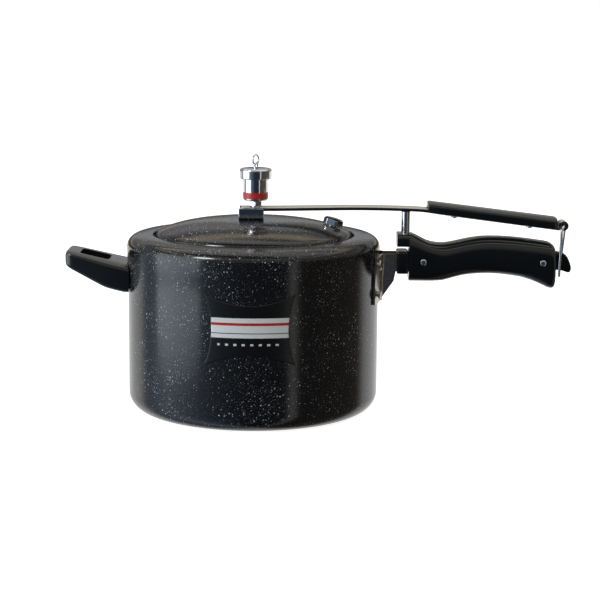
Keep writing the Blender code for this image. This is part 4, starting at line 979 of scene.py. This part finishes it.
# Vent pipe: a bored brass nozzle, plated, with a hexagonal collar. Its thread clamps the
# saddle to the lid with a washer and a nut below.
COLLAR_LOW = PIN_Z + ROLL + BAR_SHEET / 2 + 0.0012
COLLAR_TOP = COLLAR_LOW + 0.0042
NOZZLE_TOP = COLLAR_TOP + 0.0150
VENT_FOOT = POT_HEIGHT + CROWN - LID_SHEET - 0.0115
vent_shape = spun_shape(
    [(0.0024, NOZZLE_TOP), (0.0026, NOZZLE_TOP), (0.0030, NOZZLE_TOP - 0.0010),
     (0.0030, COLLAR_TOP - 0.0005),
     (0.0040, COLLAR_TOP - 0.0005), (0.0040, 0.1694), (0.0031, 0.1694), (0.0031, VENT_FOOT),
     (0.0014, VENT_FOOT), (0.0014, NOZZLE_TOP - 0.0011)], 64, closed=True,
)
bmesh.ops.translate(vent_shape, vec=(VENT_X, 0, 0), verts=vent_shape.verts)
vent = solid_object("vent_nozzle", vent_shape, bright)
stands_for(vent, "lid", "vent_pipe")
collar_shape = spun_shape(
    [(0.0041, COLLAR_TOP - 0.0001), (0.0050, COLLAR_TOP), (0.00606, COLLAR_TOP - 0.0008),
     (0.00606, COLLAR_LOW + 0.0008), (0.0052, COLLAR_LOW), (0.0041, COLLAR_LOW)], 72, closed=True,
)
bmesh.ops.translate(collar_shape, vec=(VENT_X, 0, 0), verts=collar_shape.verts)
collar = solid_object("vent_collar", collar_shape, bright)
flats = bar_between((VENT_X, 0, 0.17), (VENT_X, 0, 0.20), 0.0105 / math.sqrt(3), 6)
cut(collar, solid_object("flats", flats), "INTERSECT")
stands_for(collar, "lid")
refinish("vent_nut", plated)

# Safety valve: a plated hexagon with a soft-metal plug, square to the dome, with its washer
# and nut inside.
VALVE_X = 0.0690
fall = (dome_height(VALVE_X + 0.001) - dome_height(VALVE_X - 0.001)) / 0.002
lean = Matrix.Translation((VALVE_X, 0, dome_height(VALVE_X))) @ Matrix.Rotation(-math.atan(fall), 4, "Y")
valve_shape = spun_shape(
    [(0.0036, 0.0064), (0.0040, 0.0066), (0.00736, 0.0066), (0.00896, 0.0054),
     (0.00896, 0.0010), (0.0040, 0.0010),
     (0.0040, -0.0109), (0.0016, -0.0109), (0.0016, 0.0040), (0.0036, 0.0040)], 96, closed=True,
)
valve = solid_object("valve_body", valve_shape, bright)
flats = bar_between((0, 0, -0.02), (0, 0, 0.02), 0.0160 / math.sqrt(3), 6)
bmesh.ops.rotate(flats, cent=(0, 0, 0), matrix=Matrix.Rotation(math.radians(12), 3, "Z"), verts=flats.verts)
cut(valve, solid_object("flats", flats), "INTERSECT")
break_edges(valve, 0.00025, 40)
valve.data.transform(lean)
stands_for(valve, "lid", "safety_valve_body")
soft_metal, place = blank_finish("soft_metal", Metallic=1.0)
cast = place.noise(1300.0, 3.0, 0.6)
wear(
    soft_metal,
    Base_Color=cast.blend((0.38, 0.38, 0.37, 1), (0.52, 0.52, 0.50, 1)),
    Roughness=cast * 0.2 + 0.35,
    Normal=place.bump(cast, 0.2, 0.0001),
)
refinish("fusible_plug", soft_metal)
refinish("safety_nut", plated)

# Weight: turned brass, plated, hollow from below, with a wider head and a red ring let into
# a groove near its foot.
WEIGHT_LOW = COLLAR_TOP + 0.0008
WEIGHT_TOP = WEIGHT_LOW + 0.0184
BAND_LOW = WEIGHT_LOW + 0.0016
ROOF = NOZZLE_TOP + 0.0012
AXIS = (VENT_X, 0, 0)
body_shape = spun_shape(
    [(0.0023, WEIGHT_TOP), (0.0108, WEIGHT_TOP), (0.0108, BAND_LOW + 0.0055), (0.0106, BAND_LOW + 0.0053),
     (0.0098, BAND_LOW + 0.0053), (0.0098, BAND_LOW - 0.0003), (0.0106, BAND_LOW - 0.0003),
     (0.0108, BAND_LOW - 0.0005), (0.0108, WEIGHT_LOW + 0.0006), (0.0106, WEIGHT_LOW + 0.0002),
     (0.0103, WEIGHT_LOW), (0.0055, WEIGHT_LOW), (0.0052, WEIGHT_LOW + 0.0003),
     (0.0052, ROOF), (0.0023, ROOF)],
    96, closed=True,
)
bmesh.ops.translate(body_shape, vec=AXIS, verts=body_shape.verts)
weight = solid_object("weight_barrel", body_shape, bright)
stands_for(weight, "weight", "weight_body")
red, place = blank_finish("red_enamel", Coat_Weight=0.3, Coat_Roughness=0.2)
patch = place.noise(350.0, 3.0, 0.6)
wear(
    red,
    Base_Color=patch.blend((0.42, 0.010, 0.008, 1), (0.70, 0.030, 0.020, 1)),
    Roughness=patch * 0.15 + 0.32,
    Normal=place.bump(patch, 0.1, 0.0001),
)
band_shape = spun_shape(
    [(0.0107, BAND_LOW + 0.0050), (0.0111, BAND_LOW + 0.0047), (0.0111, BAND_LOW + 0.0003),
     (0.0107, BAND_LOW),
     (0.0101, BAND_LOW), (0.0101, BAND_LOW + 0.0050)], 96, closed=True,
)
bmesh.ops.translate(band_shape, vec=AXIS, verts=band_shape.verts)
band_ring = solid_object("red_ring", band_shape, red)
stands_for(band_ring, "weight", "weight_band")
CAP_LOW = WEIGHT_TOP + 0.0003
CAP_TOP = CAP_LOW + 0.0090
cap_outline = [(0.0018, CAP_TOP)]
cap_outline += arc((0.0141 - 0.0020, CAP_TOP - 0.0020), 0.0020, 90, 0, 8)
cap_outline += arc((0.0141 - 0.0007, CAP_LOW + 0.0007), 0.0007, 0, -90, 4)
cap_outline += [(0.0023, CAP_LOW), (0.0023, CAP_LOW + 0.0021), (0.0018, CAP_LOW + 0.0037)]
cap_shape = spun_shape(cap_outline, 96, closed=True)
bmesh.ops.translate(cap_shape, vec=AXIS, verts=cap_shape.verts)
cap = solid_object("weight_head", cap_shape, bright)
stands_for(cap, "weight", "weight_cap")
refinish("weight_cone", plated)

# Lift ring: a split wire ring through an eye screw in the top of the weight.
HOLE_Z = CAP_TOP + 0.0032
RING_TURN = math.radians(58)
way = Vector((math.cos(RING_TURN), math.sin(RING_TURN), 0.0))
eye_centre = Vector((VENT_X, 0, HOLE_Z))
stud_shape = spun_shape(
    [(0.0, CAP_TOP + 0.0018), (0.0012, CAP_TOP + 0.0018), (0.0020, CAP_TOP + 0.0012),
     (0.0022, CAP_TOP + 0.0003),
     (0.0015, CAP_TOP + 0.0003), (0.0015, CAP_LOW + 0.0040), (0.0, CAP_LOW + 0.0040)], 48,
)
bmesh.ops.translate(stud_shape, vec=AXIS, verts=stud_shape.verts)
stud = solid_object("eye_screw", stud_shape, bright)
disc = bar_between(eye_centre - way * 0.0010, eye_centre + way * 0.0010, 0.0025, 48)
bmesh.ops.bevel(
    disc, geom=[e for e in disc.edges if len([f for f in e.link_faces if len(f.verts) > 4]) == 1],
    offset=0.0005, segments=3, profile=0.5, affect="EDGES", material=-1,
)
cut(stud, solid_object("disc", disc), "UNION")
cut(stud, solid_object("hole", bar_between(eye_centre - way * 0.01, eye_centre + way * 0.01, 0.0014, 32)))
stands_for(stud, "weight", "ring_stud")
ring_path = []
across = Vector((-way.y, way.x, 0.0))
for i in range(117):
    a = math.tau * (i - 8) / 56
    lift = Vector((0, 0, 0.0043 - 0.0043 * math.cos(a)))
    ring_path.append(eye_centre + lift + way * 0.0043 * math.sin(a) + across * 0.0011 * (i / 116 - 0.5))
ring = wire_object("split_ring", ring_path, 0.0006, bright, closed=False)
stands_for(ring, "ring", "lift_ring")

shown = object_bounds()
